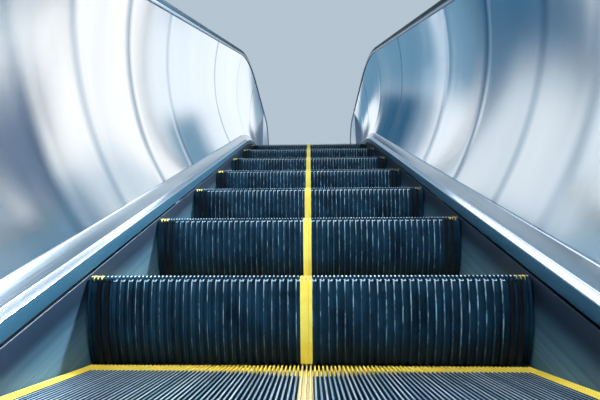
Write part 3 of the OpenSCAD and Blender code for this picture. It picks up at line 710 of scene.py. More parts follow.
def rowTree():
    # repeats a part in a row across; faces are marked at the borders, at the back and in the middle,
    # and the part's own flag picks the faces that take the worn finish, on the ribs of the riser
    # partly a painted highlight
    sizes = {"Pitch": 0.01, "Border": 9.0, "Back": 99.0, "Middle": -1.0, "Front": -9.0}
    coats = ("Plain", "WornAndSheen", "Marked", "Centre")
    tree, given = newTree("rowOfParts", [("Part", "Object", None), ("Count", "Int", 10)]
                          + [(label, "Float", value) for label, value in sizes.items()]
                          + [(label, "Material", None) for label in coats])
    pitch, border, back, middle, front = (Sum(tree, given[label]) for label in sizes)
    span = pitch * (Sum(tree, given["Count"]) - 1.0)
    real = repeated(tree, given, newNode(tree, "GeometryNodeMeshLine", {
        "Count": given["Count"],
        "Start Location": newNode(tree, "ShaderNodeCombineXYZ", {0: span * -0.5}),
        "Offset": newNode(tree, "ShaderNodeCombineXYZ", {0: pitch})}))
    x, y, z = split(tree, newNode(tree, "GeometryNodeInputPosition"))
    away = x.math("ABSOLUTE")
    odd = away.math("DIVIDE", pitch).math("ROUND").math("MODULO", 2.0).math("GREATER_THAN", 0.5)
    behind = 1.0 - y.math("LESS_THAN", front)
    onTop = behind.math("MAXIMUM", z.math("GREATER_THAN", -0.0022))
    side = away.math("GREATER_THAN", border) * (behind.math("MAXIMUM", odd) * onTop)
    flag = newNode(tree, "GeometryNodeInputNamedAttribute", {"Name": "wornFace"}, data_type="BOOLEAN")
    picked = (True, flag.outputs["Attribute"], side.math("MAXIMUM", y.math("GREATER_THAN", back)),
              away.math("LESS_THAN", middle))
    for label, selection in zip(coats, picked):
        real = coated(tree, real, given[label], selection)
    newNode(tree, "NodeGroupOutput", {0: real})
    return tree


partsRow = rowTree()


def flagFaces(mesh, test):
    # keeps in the mesh which faces take the worn finish, on the ribs of the riser partly a painted
    # highlight
    flag = mesh.attributes.new("wornFace", "BOOLEAN", "FACE")
    for face in mesh.polygons:
        flag.data[face.index].value = test(face)


def rowMesh(part, name, count, pitch, plain, rubbedAndSheen, marked=None, centre=None, **sizes):
    # a row of parts with its finishes
    holder = newObject(name + "Part", part)
    coats = {"Plain": plain, "WornAndSheen": rubbedAndSheen, "Marked": marked or plain, "Centre": centre or plain}
    mesh = runTree(partsRow, {
        "Part": holder, "Count": count, "Pitch": pitch,
        **{"Border": 9.0, "Back": 99.0, "Middle": -1.0, "Front": -9.0, **sizes},
        **{label: finishes[finish] for label, finish in coats.items()}}, name)
    bpy.data.objects.remove(holder)
    return mesh


def joinMeshes(name, meshes):
    work = bmesh.new()
    joined = bpy.data.meshes.new(name)
    for mesh in meshes:
        shift, before = len(joined.materials), len(work.faces)
        work.from_mesh(mesh)
        work.faces.ensure_lookup_table()
        for material in mesh.materials:
            joined.materials.append(material)
        for face in work.faces[before:]:
            face.material_index += shift
    work.to_mesh(joined)
    work.free()
    return joined


def triangles(mesh):
    return sum(len(face.vertices) - 2 for face in mesh.polygons)


# steps, each from its nose in y and z
stepLook = {
    "width": 1.004,
    "pitch": 0.400,
    "gap": 0.006,
    "treadThickness": 0.022,
    "riserThickness": 0.016,
    "riserDepth": 0.205,
    "riserRows": 12,
    "cleats": 109,
    "cleatPitch": 0.0092,
    "cleatTop": 0.0034,
    "cleatFoot": 0.0046,
    "cleatHeight": 0.011,
    "cleatStops": (0.12, 0.02),
    "noseRound": 0.006,
    "noseTurns": 6,
    "ribs": 53,
    "ribPitch": 0.0184,
    "ribFace": 0.0106,
    "ribFoot": 0.0124,
    "ribEdge": 0.0022,
    "ribDepth": 0.005,
    "ribHead": 0.0085,
    "ribStops": ((0.0, 0.10), (0.0008, 0.55), (0.0022, 0.88), (0.0045, 1.0),
                 (0.026, 1.0), (0.06, 1.0), (0.10, 1.0), (0.14, 1.0)),
    "flange": 0.007,
    "sideBorder": 0.034,
    "backBorder": 0.052,
    "frontBorder": 0.012,
    "grooveStart": 0.010,
    "darkEnds": 0.058,
    "stripe": 0.014,
    "stripeBars": ((-0.0135, -0.0015, 0.0), (-0.0015, 0.0065, 0.0022), (0.0065, 0.0135, 0.0)),
    "cheek": ((0.014, -0.012), (0.388, -0.012), (0.346, -0.091), (0.111, -0.201), (0.079, -0.201)),
    "cheekX": (0.430, 0.440),
    "rollers": (((0.095, -0.185), 0.444), ((0.330, -0.075), 0.478)),
    "rollerRadius": 0.038,
    "rollerWidth": 0.022,
    "rollerEdge": 0.003,
    "hubShares": (0.62, 0.70),
    "dishShare": 0.2,
    "axleRadius": 0.010,
}


def riserPoint(depth, inset=0.0):
    # front of the riser at a depth under the nose, moved back square to its face
    pitch = stepLook["pitch"]
    angle = 2 * math.asin(min(1.0, depth / 2 / pitch))
    r = pitch - inset
    return pitch - r * math.cos(angle), -r * math.sin(angle)


def cleatMesh():
    # one cleat of the tread, from the back edge to the rounded nose
    look, shape = stepLook, Shape()
    back = look["pitch"] - look["gap"]
    top, foot, height, r = (look[k] for k in ("cleatTop", "cleatFoot", "cleatHeight", "noseRound"))
    line = [(y, 0.0) for y in (back, back - look["backBorder"], *look["cleatStops"])]
    for i in range(look["noseTurns"] + 1):
        a = math.pi / 2 * i / look["noseTurns"]
        line.append((r - r * math.sin(a), -r + r * math.cos(a)))
    shape.sweep([[(-foot / 2, y, -height), (-top / 2, y, z), (top / 2, y, z), (foot / 2, y, -height)]
                 for y, z in line])
    mesh = shape.mesh("cleat")
    flagFaces(mesh, lambda face: face.normal.z > 0.45)
    return mesh


def ribMesh():
    # one rib of the riser: a flat face and a rounded head under the nose; the head and only the left
    # edge take the worn finish, partly wear and partly a painted highlight
    look, shape, rows = stepLook, Shape(), []
    width, foot, edge, depth, head = (
        look[k] for k in ("ribFace", "ribFoot", "ribEdge", "ribDepth", "ribHead"))
    for below, share in look["ribStops"] + ((look["riserDepth"] - head, 1.0),):
        narrow = width / 2 * (0.6 + 0.4 * share)
        rows.append([(x, *riserPoint(head + below, depth * (1 - out))) for x, out in (
            (-foot / 2, -0.15), (-narrow, 0.72 * share), (-narrow + edge, share),
            (narrow - 0.001, share), (narrow, 0.8 * share), (foot / 2, -0.15))])
    shape.sweep(rows)
    mesh = shape.mesh("rib")
    headEnd = -head - look["ribStops"][3][0] * 0.98

    def rubbedAndSheen(face):
        ends = [mesh.vertices[i].co.x for i in face.vertices]
        onEdge = all(-width / 2 - 0.0001 < x < -width / 2 + edge + 0.0022 for x in ends)
        onHead = face.center.z > headEnd and face.normal.y < -0.1 and face.normal.z > 0.1
        return (onEdge and face.normal.y < -0.5) or onHead

    flagFaces(mesh, rubbedAndSheen)
    return mesh


def circle(centre, radius, turns):
    return [(centre[0] + radius * math.cos(2 * math.pi * i / turns),
             centre[1] + radius * math.sin(2 * math.pi * i / turns)) for i in range(turns)]


def rollerInto(shape, centre, radius, inner, x0, x1, turns=32):
    # a tyre along X with rounded shoulders, a dished hub and a hole for its axle
    edge, dish = stepLook["rollerEdge"], (x1 - x0) * stepLook["dishShare"]
    hub, tyre = (radius * share for share in stepLook["hubShares"])
    near = [(x0 + dish, inner), (x0 + dish, hub), (x0, tyre), (x0, radius - edge), (x0 + edge, radius)]
    section = near + [(x0 + x1 - x, r) for x, r in reversed(near)]
    rings = [circle(centre, r, turns) for x, r in section]
    shape.skin([[(x, *ring[i]) for (x, r), ring in zip(section, rings)] for i in range(turns)],
               roundRows=True)


def stepParts():
    # the casting under the cleats with its side flanges and cheeks, then the rollers
    look, cast, rollers = stepLook, Shape(), Shape()
    half, back, flange = look["width"] / 2, look["pitch"] - look["gap"], look["flange"]
    thick = look["riserThickness"]
    depths = [look["riserDepth"] * i / look["riserRows"] for i in range(look["riserRows"] + 1)]
    rear = [riserPoint(d, thick) for d in depths[2:]][::-1]
    under = [(thick + 0.001, -look["treadThickness"]), (back, -look["treadThickness"])]

    def castPlate(inset, x0, x1):
        front = [riserPoint(d, inset) for d in depths[1:]]
        top = [(back, -look["cleatHeight"]), (inset + 0.0012, -look["cleatHeight"])]
        cast.plate(top + front + rear + under, x0, x1)

    def ends(side, x0, x1):
        return sorted((side * x0, side * x1))

    castPlate(look["ribDepth"], -half + flange, half - flange)
    for side in (-1, 1):
        castPlate(0.0005, *ends(side, half - flange, half))
        cast.plate(look["cheek"], *ends(side, *look["cheekX"]))
        for centre, x in look["rollers"]:
            outer = x + look["rollerWidth"]
            cast.plate(circle(centre, look["axleRadius"], 16),
                       *ends(side, look["cheekX"][1], outer + 0.004))
            rollerInto(rollers, centre, look["rollerRadius"], look["axleRadius"] + 0.0002,
                       *ends(side, x, outer))
    return cast, rollers


def stepMarks():
    # groove floors of the borders, and the stripe down the riser with its groove
    look, yellow, worn = stepLook, Shape(), Shape()
    half, back, start = look["width"] / 2, look["pitch"] - look["gap"], look["grooveStart"]
    bandFront = back - look["backBorder"]
    low, high = -look["cleatHeight"] - 0.001, -look["cleatHeight"] + 0.0006
    yellow.box((-half, bandFront, low), (half, back, high))
    yellow.box((-half, start, low), (-half + look["sideBorder"], bandFront, high))
    yellow.box((half - look["sideBorder"], start, low), (half, bandFront, high))
    worn.box((-look["stripe"], start, low), (look["stripe"], bandFront, high))
    rows = look["riserRows"]
    depths = [0.0015, 0.004] + [look["riserDepth"] * i / rows for i in range(1, rows + 1)]
    for x0, x1, inset in look["stripeBars"]:
        front = [riserPoint(d, inset) for d in depths]
        rear = [riserPoint(d, look["riserThickness"] - 0.002) for d in depths]
        yellow.plate(front + rear[::-1], x0, x1)
    return yellow, worn


def makeSteps():
    look = stepLook
    half, back = look["width"] / 2, look["pitch"] - look["gap"]
    cleats = rowMesh(
        cleatMesh(), "cleats", look["cleats"], look["cleatPitch"], "stepCasting", "cleatTop",
        "stepYellow", "wornYellow", Border=half - look["sideBorder"],
        Back=back - look["backBorder"], Middle=look["stripe"], Front=look["frontBorder"])
    ribs = rowMesh(
        ribMesh(), "ribs", look["ribs"], look["ribPitch"], "stepCasting", "ribWearAndSheen",
        "blackPlastic", "stepYellow", Border=half - look["darkEnds"],
        Middle=look["ribPitch"] / 2, Front=-1.0)
    (cast, rollers), (yellow, worn) = stepParts(), stepMarks()
    whole = joinMeshes("step", [
        cleats, ribs, cast.mesh("cast", "stepCasting"), rollers.mesh("rollers", "blackPlastic", 40),
        yellow.mesh("marks", "stepYellow"), worn.mesh("worn", "wornYellow")])
    # depth under the nose, which the finishes of the riser follow for their painted highlight at the
    # head and painted shade at the foot
    below = whole.attributes.new("belowNose", "FLOAT", "POINT")
    for vertex in whole.vertices:
        below.data[vertex.index].value = -vertex.co.z
    for name in sorted(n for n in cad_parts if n.startswith("step_")):
        low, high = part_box(name)
        mesh = whole.copy()
        mesh.transform(Matrix.Translation((0, low.y, high.z)))
        pieceFrom(mesh, "ribbed_" + name, name)
    print("steps are dressed, triangles each:", triangles(whole))


makeSteps()

# decks, panels and skirts, across and square to the line
sideLook = {
    "skirtX": 0.506,
    "stripX": 0.526,
    "footX": 0.553,
    "ledge": 0.032,
    "lip": (0.541, 0.085),
    "skirtTop": -0.002,
    "skirtFoot": -0.250,
    "skirtEnds": (0.8983, 9.01785),
    "deckFace": (0.006, 0.040),
    "stripN": 0.048,
    "ledgeN": 0.082,
    "sheet": 0.004,
    "fold": 0.0035,
    "lean": 0.022,
    "hollow": 0.061,
    "railHeight": 0.866,
    "railX": 0.617,
    "headGap": -0.0063,
    "footGap": 0.0003,
    "endY": (0.880, 9.03615),
    "newelY": (0.950, 8.96615),
    "newelBack": 0.260,
    "panelGap": 0.0015,
    "panelRows": 40,
    "bentColumns": 48,
}


def deckLine(endX):
    # the folds from the skirt up to the panel's foot
    look = sideLook
    corners = [(look["skirtX"], n) for n in look["deckFace"]]
    corners += [(look["stripX"], look["stripN"]), look["lip"], (look["footX"], look["ledgeN"])]
    return rounded(corners + [(endX, look["ledgeN"])], look["fold"])


def makeDecks(side, label):
    look = sideLook
    section = thickLine(deckLine(look["footX"] + look["ledge"]), look["sheet"])
    piece = sweptPiece(f"{label}InnerDeck", section, side, bayStretches(*look["endY"]),
                       "deckSteel", f"{label}_inner_deck")
    # the deck's upright face and its moulding take darker copies of the same sheet's steel: painted
    # shade
    for finish in ("deckFaceShadedSteel", "mouldingShadedSteel"):
        piece.data.materials.append(finishes[finish])
    for face in piece.data.polygons:
        upright, x = abs(face.normal.x), abs(face.center.x)
        if upright > 0.99 and x < look["skirtX"] + 0.001:
            face.material_index = 1
        elif 0.90 < upright < 0.99 and x > look["stripX"] + 0.001:
            face.material_index = 2


def makeSkirt(side, label):
    # plates in bays, with their upper edge close under the deck's face
    look = sideLook
    x0, x1 = look["skirtX"], look["skirtX"] + look["sheet"]
    top, foot = look["skirtTop"], look["skirtFoot"]
    section = [(x0, foot), (x0, top - 0.001), (x0 + 0.001, top), (x1, top), (x1, foot)]
    sweptPiece(f"{label}SkirtPlates", section, side, bayStretches(*look["skirtEnds"]),
               "skirtSteel", f"{label}_skirt", 30)


outerLook = {
    "line": ((0.626, 0.100), (0.662, 0.100), (0.780, 0.084), (0.780, 0.040)),
    "fold": 0.004,
    "sheet": 0.004,
}


def makeOuterDeck(side, label):
    section = thickLine(rounded(outerLook["line"], outerLook["fold"]), outerLook["sheet"])
    sweptPiece(f"{label}OuterDeckFolds", section, side, bayStretches(*sideLook["endY"]),
               "deckSteel", f"{label}_outer_deck")


def panelX(t):
    look = sideLook
    return look["footX"] + look["footGap"] + look["lean"] * t + look["hollow"] * 4 * t * (1 - t)


def panelRows(side, s0, s1):
    # rows of points up the panel's face and down its back, with the ends square to the line
    look = sideLook
    foot, head = look["ledgeN"] + look["footGap"], look["headGap"]
    headTilt = look["railHeight"] * math.cos(slope) + head
    ends = [pathFrame(s) for s in (s0, s1)]

    def between(u, n):
        y0, y1 = (y - (n * math.sin(slope) if a > 0.01 else 0.0) for y, _, a in ends)
        return (1 - u) * y0 + u * y1

    inLower = s0 < lowerArc - 1e-6 and s1 > 0.01
    inUpper = s1 > upperBendAt + 0.01 and s0 < pathEnd - 1e-6
    count = look["bentColumns"] if inLower or inUpper else 2
    rows = []
    for i in range(count + 1):
        u = i / count
        footY, headY = between(u, foot), between(u, headTilt)
        footZ, headZ = heightOver(footY, foot), heightOver(headY, head, look["railHeight"])
        face, rear = [], []
        for k in range(look["panelRows"] + 1):
            t = k / look["panelRows"]
            y, z = footY + (headY - footY) * t, footZ + (headZ - footZ) * t
            face.append((side * panelX(t), y, z))
            rear.append((side * (panelX(t) + look["sheet"]), y, z))
        rows.append((face + rear[::-1], s0 + (s1 - s0) * u))
    return rows


def makePanels(side, label):
    look, shape, alongUp = sideLook, Shape(), []
    inset = look["newelBack"] + look["panelGap"]
    heights = [look["railHeight"] * k / look["panelRows"] for k in range(look["panelRows"] + 1)]
    for s0, s1 in bayStretches(look["newelY"][0] + inset, look["newelY"][1] - inset):
        rows = panelRows(side, s0, s1)
        shape.sweep([row for row, _ in rows])
        alongUp += [(s, h) for _, s in rows for h in heights + heights[::-1]]
    mesh = shape.mesh(f"{label}InnerPanels", "panelSteel", 35)
    layer = mesh.uv_layers.new(name="alongAndUp")
    for loop in mesh.loops:
        layer.data[loop.index].uv = alongUp[loop.vertex_index]
    pieceFrom(mesh, f"{label}InnerPanels", f"{label}_inner_panels")


# bright face strip under each handrail, over the heads of the panels
trimLook = {
    "x": (0.5685, 0.5745),
    "n": (-0.0155, -0.0012),
    "fold": 0.002,
    "sheet": 0.0015,
    "lap": 0.008,
}


def makeTrim(side, label):
    (x0, x1), (low, high) = trimLook["x"], trimLook["n"]
    corners = [(x1, low), (x0, low + 0.001), (x0, high), (x1 + trimLook["lap"], high)]
    section = thickLine(rounded(corners, trimLook["fold"], 3), trimLook["sheet"])
    ends, back = sideLook["newelY"], sideLook["newelBack"]
    sweptPiece(f"{label}GuideTrim", section, side, [stretch(ends[0] + back, ends[1] - back)],
               "guideAluminium", None, 30, sideLook["railHeight"])


for side, label in sides:
    for make in (makeDecks, makeSkirt, makeOuterDeck, makePanels):
        make(side, label)
for side, label in sides:
    makeTrim(side, label)
print("decks and panels are made")

# handrails
railLook = {
    "width": 0.080,
    "thickness": 0.030,
    "corner": 0.011,
    "lip": 0.006,
    "mouth": 0.044,
    "slot": (0.008, 0.018, 0.064),
    "underRadius": 0.315,
    "newelZ": 0.551,
    "inletRun": 0.040,
    "turns": 40,
    "bendStep": math.radians(1.5),
}


def railTree():
    # a section pushed along a line and coloured
    tree, given = newTree("railAlongLine", [("Section", "Object", None), ("Finish", "Material", None)])
    info = newNode(tree, "GeometryNodeObjectInfo", {"Object": given["Section"]})
    line, section = (newNode(tree, "GeometryNodeMeshToCurve", {"Mesh": mesh})
                     for mesh in (given["Geometry"], info.outputs["Geometry"]))
    push = newNode(tree, "GeometryNodeCurveToMesh", {
        "Curve": line, "Profile Curve": section, "Fill Caps": True})
    real = newNode(tree, "GeometryNodeRealizeInstances", {0: push})
    newNode(tree, "NodeGroupOutput", {0: coated(tree, real, given["Finish"])})
    return tree


def arc(centreX, centreY, radius, start, stop, count):
    angles = (math.radians(start + (stop - start) * i / count) for i in range(count + 1))
    return [(centreX + radius * math.cos(a), centreY + radius * math.sin(a)) for a in angles]


def railSection():
    look = railLook
    w, m = look["width"] / 2, look["mouth"] / 2
    t, c, lip = look["thickness"], look["corner"], look["lip"]
    low, high, slot = look["slot"]
    return ([(-m, 0)] + arc(-w + lip, lip, lip, 270, 180, 6) + arc(-w + c, t - c, c, 180, 90, 10)
            + arc(w - c, t - c, c, 90, 0, 10) + arc(w - lip, lip, lip, 0, -90, 6)
            + [(m, 0), (m, low), (slot / 2, low), (slot / 2, high), (-slot / 2, high),
               (-slot / 2, low), (-m, low)])


def railLine(side):
    look = railLook
    (lowY, lowZ), (upY, upZ) = [(sideLook["newelY"][i], levels[i] + look["newelZ"]) for i in range(2)]
    r, run, turns = look["underRadius"], look["inletRun"], look["turns"]
    angles = [math.pi * i / turns for i in range(turns + 1)]
    line = [(lowY + run, lowZ - r)]
    line += [(lowY - r * math.sin(a), lowZ - r * math.cos(a)) for a in angles]
    line += [pathFrame(s, sideLook["railHeight"])[:2] for s in marks(0.0, pathEnd, look["bendStep"])]
    line += [(upY + r * math.sin(a), upZ + r * math.cos(a)) for a in angles]
    line.append((upY - run, upZ - r))
    return [(side * sideLook["railX"], y, z) for y, z in line]


def outlineMesh(points, closed=False):
    mesh = bpy.data.meshes.new("outline")
    edges = [(i, i + 1) for i in range(len(points) - 1)] + [(len(points) - 1, 0)] * closed
    mesh.from_pydata(points, edges, [])
    return mesh


pushTree = railTree()
for side, label in sides:
    outline = newObject("railOutline", outlineMesh([(x, y, 0) for x, y in railSection()], True))
    mesh = runTree(pushTree, {"Section": outline, "Finish": finishes["handrailRubber"]},
                   f"{label}Handrail", outlineMesh(railLine(side)))
    bpy.data.objects.remove(outline)
    finishMesh(mesh, 40)
    pieceFrom(mesh, f"{label}HandrailBelt", f"{label}_handrail")
print("handrails are pushed along their line")

# landings: combs with teeth, ribbed comb plates and floor covers, from the comb line outwards
landingLook = {
    "combLines": (1.300, 8.61615),
    "ends": (0.070, 10.06615),
    "fit": 0.0003,
    "under": 0.002,
    "ground": 0.022,
    "top": 0.024,
    "lapZ": 0.013,
    "combLength": 0.060,
    "combLap": 0.024,
    "combLand": 0.012,
    "combGap": 0.0015,
    "plateLength": 0.420,
    "combWidth": 1.004,
    "segments": 5,
    "teeth": 108,
    "toothPitch": 0.0092,
    "toothWidth": 0.0032,
    "toothTip": ((-0.020, -0.0045), (-0.019, -0.002), (0.0, 0.005)),
    "toothRoot": ((-0.003, -0.006), (-0.017, -0.007)),
    "halfWidth": 0.505,
    "ribPitch": 0.0092,
    "ribWidth": (0.0052, 0.0064),
    "ribEnd": 0.0012,
    "ribBevel": 0.0005,
    "ribGap": 0.002,
    "border": 0.007,
    "floorHalf": 0.776,
    "floorNotch": 0.0095,
    "coverRibPitch": 0.012,
    "coverRib": (0.0066, 0.0082),
    "coverEdge": 0.016,
    "coverRun": 0.27,
    "coverJoint": 0.001,
    "coverScrews": (4, 0.49, 0.007),
    "screwPitch": 0.10034,
    "screwRadius": 0.0048,
    "screwBack": 0.007,
}
# profile of a screw head with a round driver recess: share of its radius, height
screwProfile = ((0.4, -0.0014), (0.45, 0.0), (0.9, 0.0), (1, -0.0005), (1, -0.003))


def screwMesh(radius, top, axis="z", turns=16):
    shape = Shape()
    shape.turned([(radius * r, top + h) for r, h in screwProfile], (0, 0, 0), axis, turns)
    mesh = shape.mesh("screw")
    flagFaces(mesh, lambda face: False)
    return mesh


def ribBar(length, widths, y):
    # one rib of a walking surface, running away from the steps
    look, shape = landingLook, Shape()
    (top, foot), bevel, end = (w / 2 for w in widths), look["ribBevel"], look["ribEnd"]
    low, high = look["ground"] - 0.0005, look["top"]
    shape.sweep([[(-foot, at, low), (-top, at, z - 0.0004), (-top + bevel, at, z),
                  (top - bevel, at, z), (top, at, z - 0.0004), (foot, at, low)]
                 for at, z in ((0.0, low + 0.0006), (end, high), (length - end, high),
                               (length, low + 0.0006))])
    mesh = shape.mesh("ribBar")
    flagFaces(mesh, lambda face: face.normal.z > 0.9)
    mesh.transform(Matrix.Translation((0, y, 0)))
    return mesh


def borderInto(shape, x1, y0, y1, edge):
    # a flat frame of four bars round a ribbed field
    low, high = landingLook["ground"], landingLook["top"]
    shape.box((-x1, y0, low), (x1, y0 + edge, high))
    shape.box((-x1, y1 - edge, low), (x1, y1, high))
    shape.box((-x1, y0 + edge, low), (-x1 + edge, y1 - edge, high))
    shape.box((x1 - edge, y0 + edge, low), (x1, y1 - edge, high))


def combMeshes(upper):
    look, tooth, body = landingLook, Shape(), Shape()
    under, ground, top = look["under"], look["ground"], look["top"]
    length, land, lap = look["combLength"], look["combLand"], look["lapZ"] + look["fit"]
    half = look["toothWidth"] / 2
    tooth.plate([*look["toothTip"], (length - land, top), (length, top), (length, ground - 0.001),
                 (length - land, ground - 0.001), (0.0, under + 0.0002), *look["toothRoot"]],
                -half, half)
    toothMesh = tooth.mesh("tooth")
    flagFaces(toothMesh, lambda face: face.normal.z > 0.8 and face.center.y < 0.03)
    width, back, gap = look["combWidth"] / look["segments"], length - look["combLap"], look["combGap"]
    for i in range(look["segments"]):
        x0 = -look["combWidth"] / 2 + i * width + gap / 2
        body.plate([(0, under), (back, under), (back, lap), (length, lap), (length, ground),
                    (length - land, ground), (0, under + 0.001)], x0, x0 + width - gap)
    screw = screwMesh(look["screwRadius"], 0.0)
    screw.transform(Matrix.Translation((0, length - look["screwBack"], top)))
    return [
        rowMesh(toothMesh, "teeth", look["teeth"], look["toothPitch"], "combYellow", "combWorn"),
        body.mesh("combBody", "combYellow"),
        rowMesh(screw, "combScrews", 2 * look["segments"], look["screwPitch"], "screwSteel",
                "screwSteel")]


def ribRow(name, x1, edge, widths, pitch, y0, y1):
    # as many ribs as fit between the border's bars
    gap = edge + landingLook["ribGap"]
    bar = ribBar(y1 - y0 - 2 * gap, widths, y0 + gap)
    count = int((2 * (x1 - edge) - widths[1]) / pitch)
    return rowMesh(bar, name, count, pitch, "landingAluminium", "landingWorn")


def plateMeshes(upper):
    look, body = landingLook, Shape()
    under, ground, lapZ, fit = (look[k] for k in ("under", "ground", "lapZ", "fit"))
    near, far, x1 = look["combLength"] + fit, look["plateLength"] - fit, look["halfWidth"]
    edge, lap = look["border"], near - look["combLap"]
    body.plate([(lap, under), (far, under), (far, ground), (near, ground), (near, lapZ), (lap, lapZ)],
               -x1, x1)
    borderInto(body, x1, near, far, edge)
    return [body.mesh("plateBody", "landingAluminium"),
            ribRow("plateRibs", x1, edge, look["ribWidth"], look["ribPitch"], near, far)]


def floorMeshes(upper):
    # covers one behind the other, each with a flat frame round its ribs and four lifting screws
    look, body = landingLook, Shape()
    under, ground, top = look["under"], look["ground"], look["top"]
    start, notch, halfGap = look["plateLength"], look["floorNotch"], look["coverJoint"]
    end = abs(look["ends"][upper] - look["combLines"][upper])
    x1, edge = look["floorHalf"], look["coverEdge"]
    body.box((-look["halfWidth"], start, under), (look["halfWidth"], start + notch + 0.0015, top))
    count = round((end - start - notch) / look["coverRun"])
    run = (end - start - notch) / count
    ribs = ribRow("coverRibs", x1, edge, look["coverRib"], look["coverRibPitch"], 0.0, run)
    screws, pitch, radius = look["coverScrews"]
    screws = rowMesh(screwMesh(radius, top), "coverScrews", screws, pitch, "screwSteel", "screwSteel")
    made = []
    for i in range(count):
        first = start + notch + i * run
        y0 = first + (halfGap if i else 0.0)
        y1 = first + run - (halfGap if i < count - 1 else 0.0)
        body.box((-x1, y0, under), (x1, y1, ground))
        borderInto(body, x1, y0, y1, edge)
        for mesh, y in ((ribs, first), (screws, y0 + edge / 2)):
            made.append(mesh.copy())
            made[-1].transform(Matrix.Translation((0, y, 0)))
    return [body.mesh("floorBody", "landingAluminium")] + made


landingPieces = (
    ("CombTeeth", combMeshes, "comb_yellow", "combs"),
    ("CombPlateRibs", plateMeshes, "landing_aluminium", "comb_plate"),
    ("FloorCovers", floorMeshes, "landing_aluminium", "floor_plate"),
)
for upper, level in enumerate(("lower", "upper")):
    counts = []
    for ending, make, slot, node in landingPieces:
        # turned to face the steps and put on its landing
        mesh = joinMeshes(level + ending, make(upper))
        turn = Matrix.Diagonal((1, 1 if upper else -1, 1, 1))
        place = (0, landingLook["combLines"][upper], levels[upper])
        mesh.transform(Matrix.Translation(place) @ turn)
        finishMesh(mesh)
        pieceFrom(mesh, level + ending, f"{level}_{node}")
        counts.append(triangles(mesh))
    print(level, "landing is made, triangles:", counts)

# newels, from the centre of the curve outwards to the steps' side
newelLook = {
    "slabX": (0.583, 0.644),
    "slabRadius": 0.3098,
    "boxX": (0.561, 0.6714),
    "front": -0.078,
    "back": 0.260,
    "centreZ": 0.551,
    "boxTop": 0.300,
    "boxFoot": 0.0823,
    "boxBevel": 0.030,
    "boxRound": 0.0022,
    "pocketX": (0.565, 0.669),
    "pocketZ": (0.194, 0.248),
    "pocketEnd": 0.052,
    "sideStep": 0.6257,
    "sideFoot": 0.1003,
    "collar": 0.007,
    "collarFit": 0.0004,
    "collarDepths": (0.002, 0.006, 0.018),
    "rim": ((0.040, -0.006), (0.040, -0.001), (0.019, -0.001), (0.019, 0.009), (0.029, 0.009),
            (0.029, 0.0177)),
    "cap": 0.008,
    "capOuter": ((0.664, 0.100), (0.780, 0.084), (0.780, 0.040)),
    "capTop": 0.102,
    "bevel": 0.0035,
    "stopPlace": (0.150, 0.165),
    "keyPlace": (0.205, 0.165),
}
# turned parts on the right newels: finish, corners round, smooth angle, radius and height
newelButtons = {
    "stopRing": ("stopPlace", "stepYellow", 40, 30, (
        (0.024, 0.001), (0.024, -0.0025), (0.0215, -0.004), (0.0175, -0.004), (0.0175, 0.001))),
    "stopButton": ("stopPlace", "stopRed", 40, 50, (
        (0.0165, 0.001), (0.0165, -0.0035), (0.0150, -0.0065), (0.0110, -0.0082),
        (0.0050, -0.0090), (0.0010, -0.0092))),
    "keySwitch": ("keyPlace", "screwSteel", 32, 30, (
        (0.012, 0.001), (0.012, -0.002), (0.0105, -0.0032), (0.0070, -0.0032), (0.0065, -0.0022),
        (0.0010, -0.0022))),
}


def bevelled(name, shape, material, width, segments=3):
    # a solid with its edges rounded
    mesh, work = shape.plain(name), bmesh.new()
    work.from_mesh(mesh)
    bmesh.ops.recalc_face_normals(work, faces=work.faces)
    sharp = [e for e in work.edges
             if len(e.link_faces) == 2 and e.calc_face_angle() > math.radians(40)]
    bmesh.ops.bevel(work, geom=sharp, offset=width, segments=segments, affect="EDGES",
                    profile=0.5, clamp_overlap=True)
    work.to_mesh(mesh)
    work.free()
    mesh.shade_smooth()
    mesh.set_sharp_from_angle(angle=math.radians(35))
    mesh.materials.append(finishes[material])
    return mesh


def corners(x0, x1, z0, z1, y):
    return [(x0, y, z0), (x1, y, z0), (x1, y, z1), (x0, y, z1)]


def inletBox():
    # box with a chamfered front and a pocket that the handrail runs into
    look, box = newelLook, Shape()
    (x0, x1), front, back, top = look["boxX"], look["front"], look["back"], look["boxTop"]
    foot, step, rise, bevel = (look[k] for k in ("boxFoot", "sideStep", "sideFoot", "boxBevel"))
    box.skin([[(x0, y, foot), (step, y, foot), (step, y, rise), (x1, y, rise), (x1, y, z), (x0, y, z)]
              for y, z in ((front, top - bevel), (front + bevel, top), (back, top))])
    pocket = (*look["pocketX"], *look["pocketZ"])
    m, count = box.skin([corners(*pocket, y) for y in (front, look["pocketEnd"])])
    box.faces += [tuple(range(m - 6, m)), tuple(range(m + count, m + 2 * count))]
    # front face round the pocket
    box.faces += [(0, 1, 2, m + 1, m), (2, 3, m + 1), (3, 4, m + 2, m + 1), (4, 5, m + 3, m + 2),
                  (5, 0, m, m + 3)]
    return bevelled("inletBox", box, "newelSteel", look["boxRound"], 2)


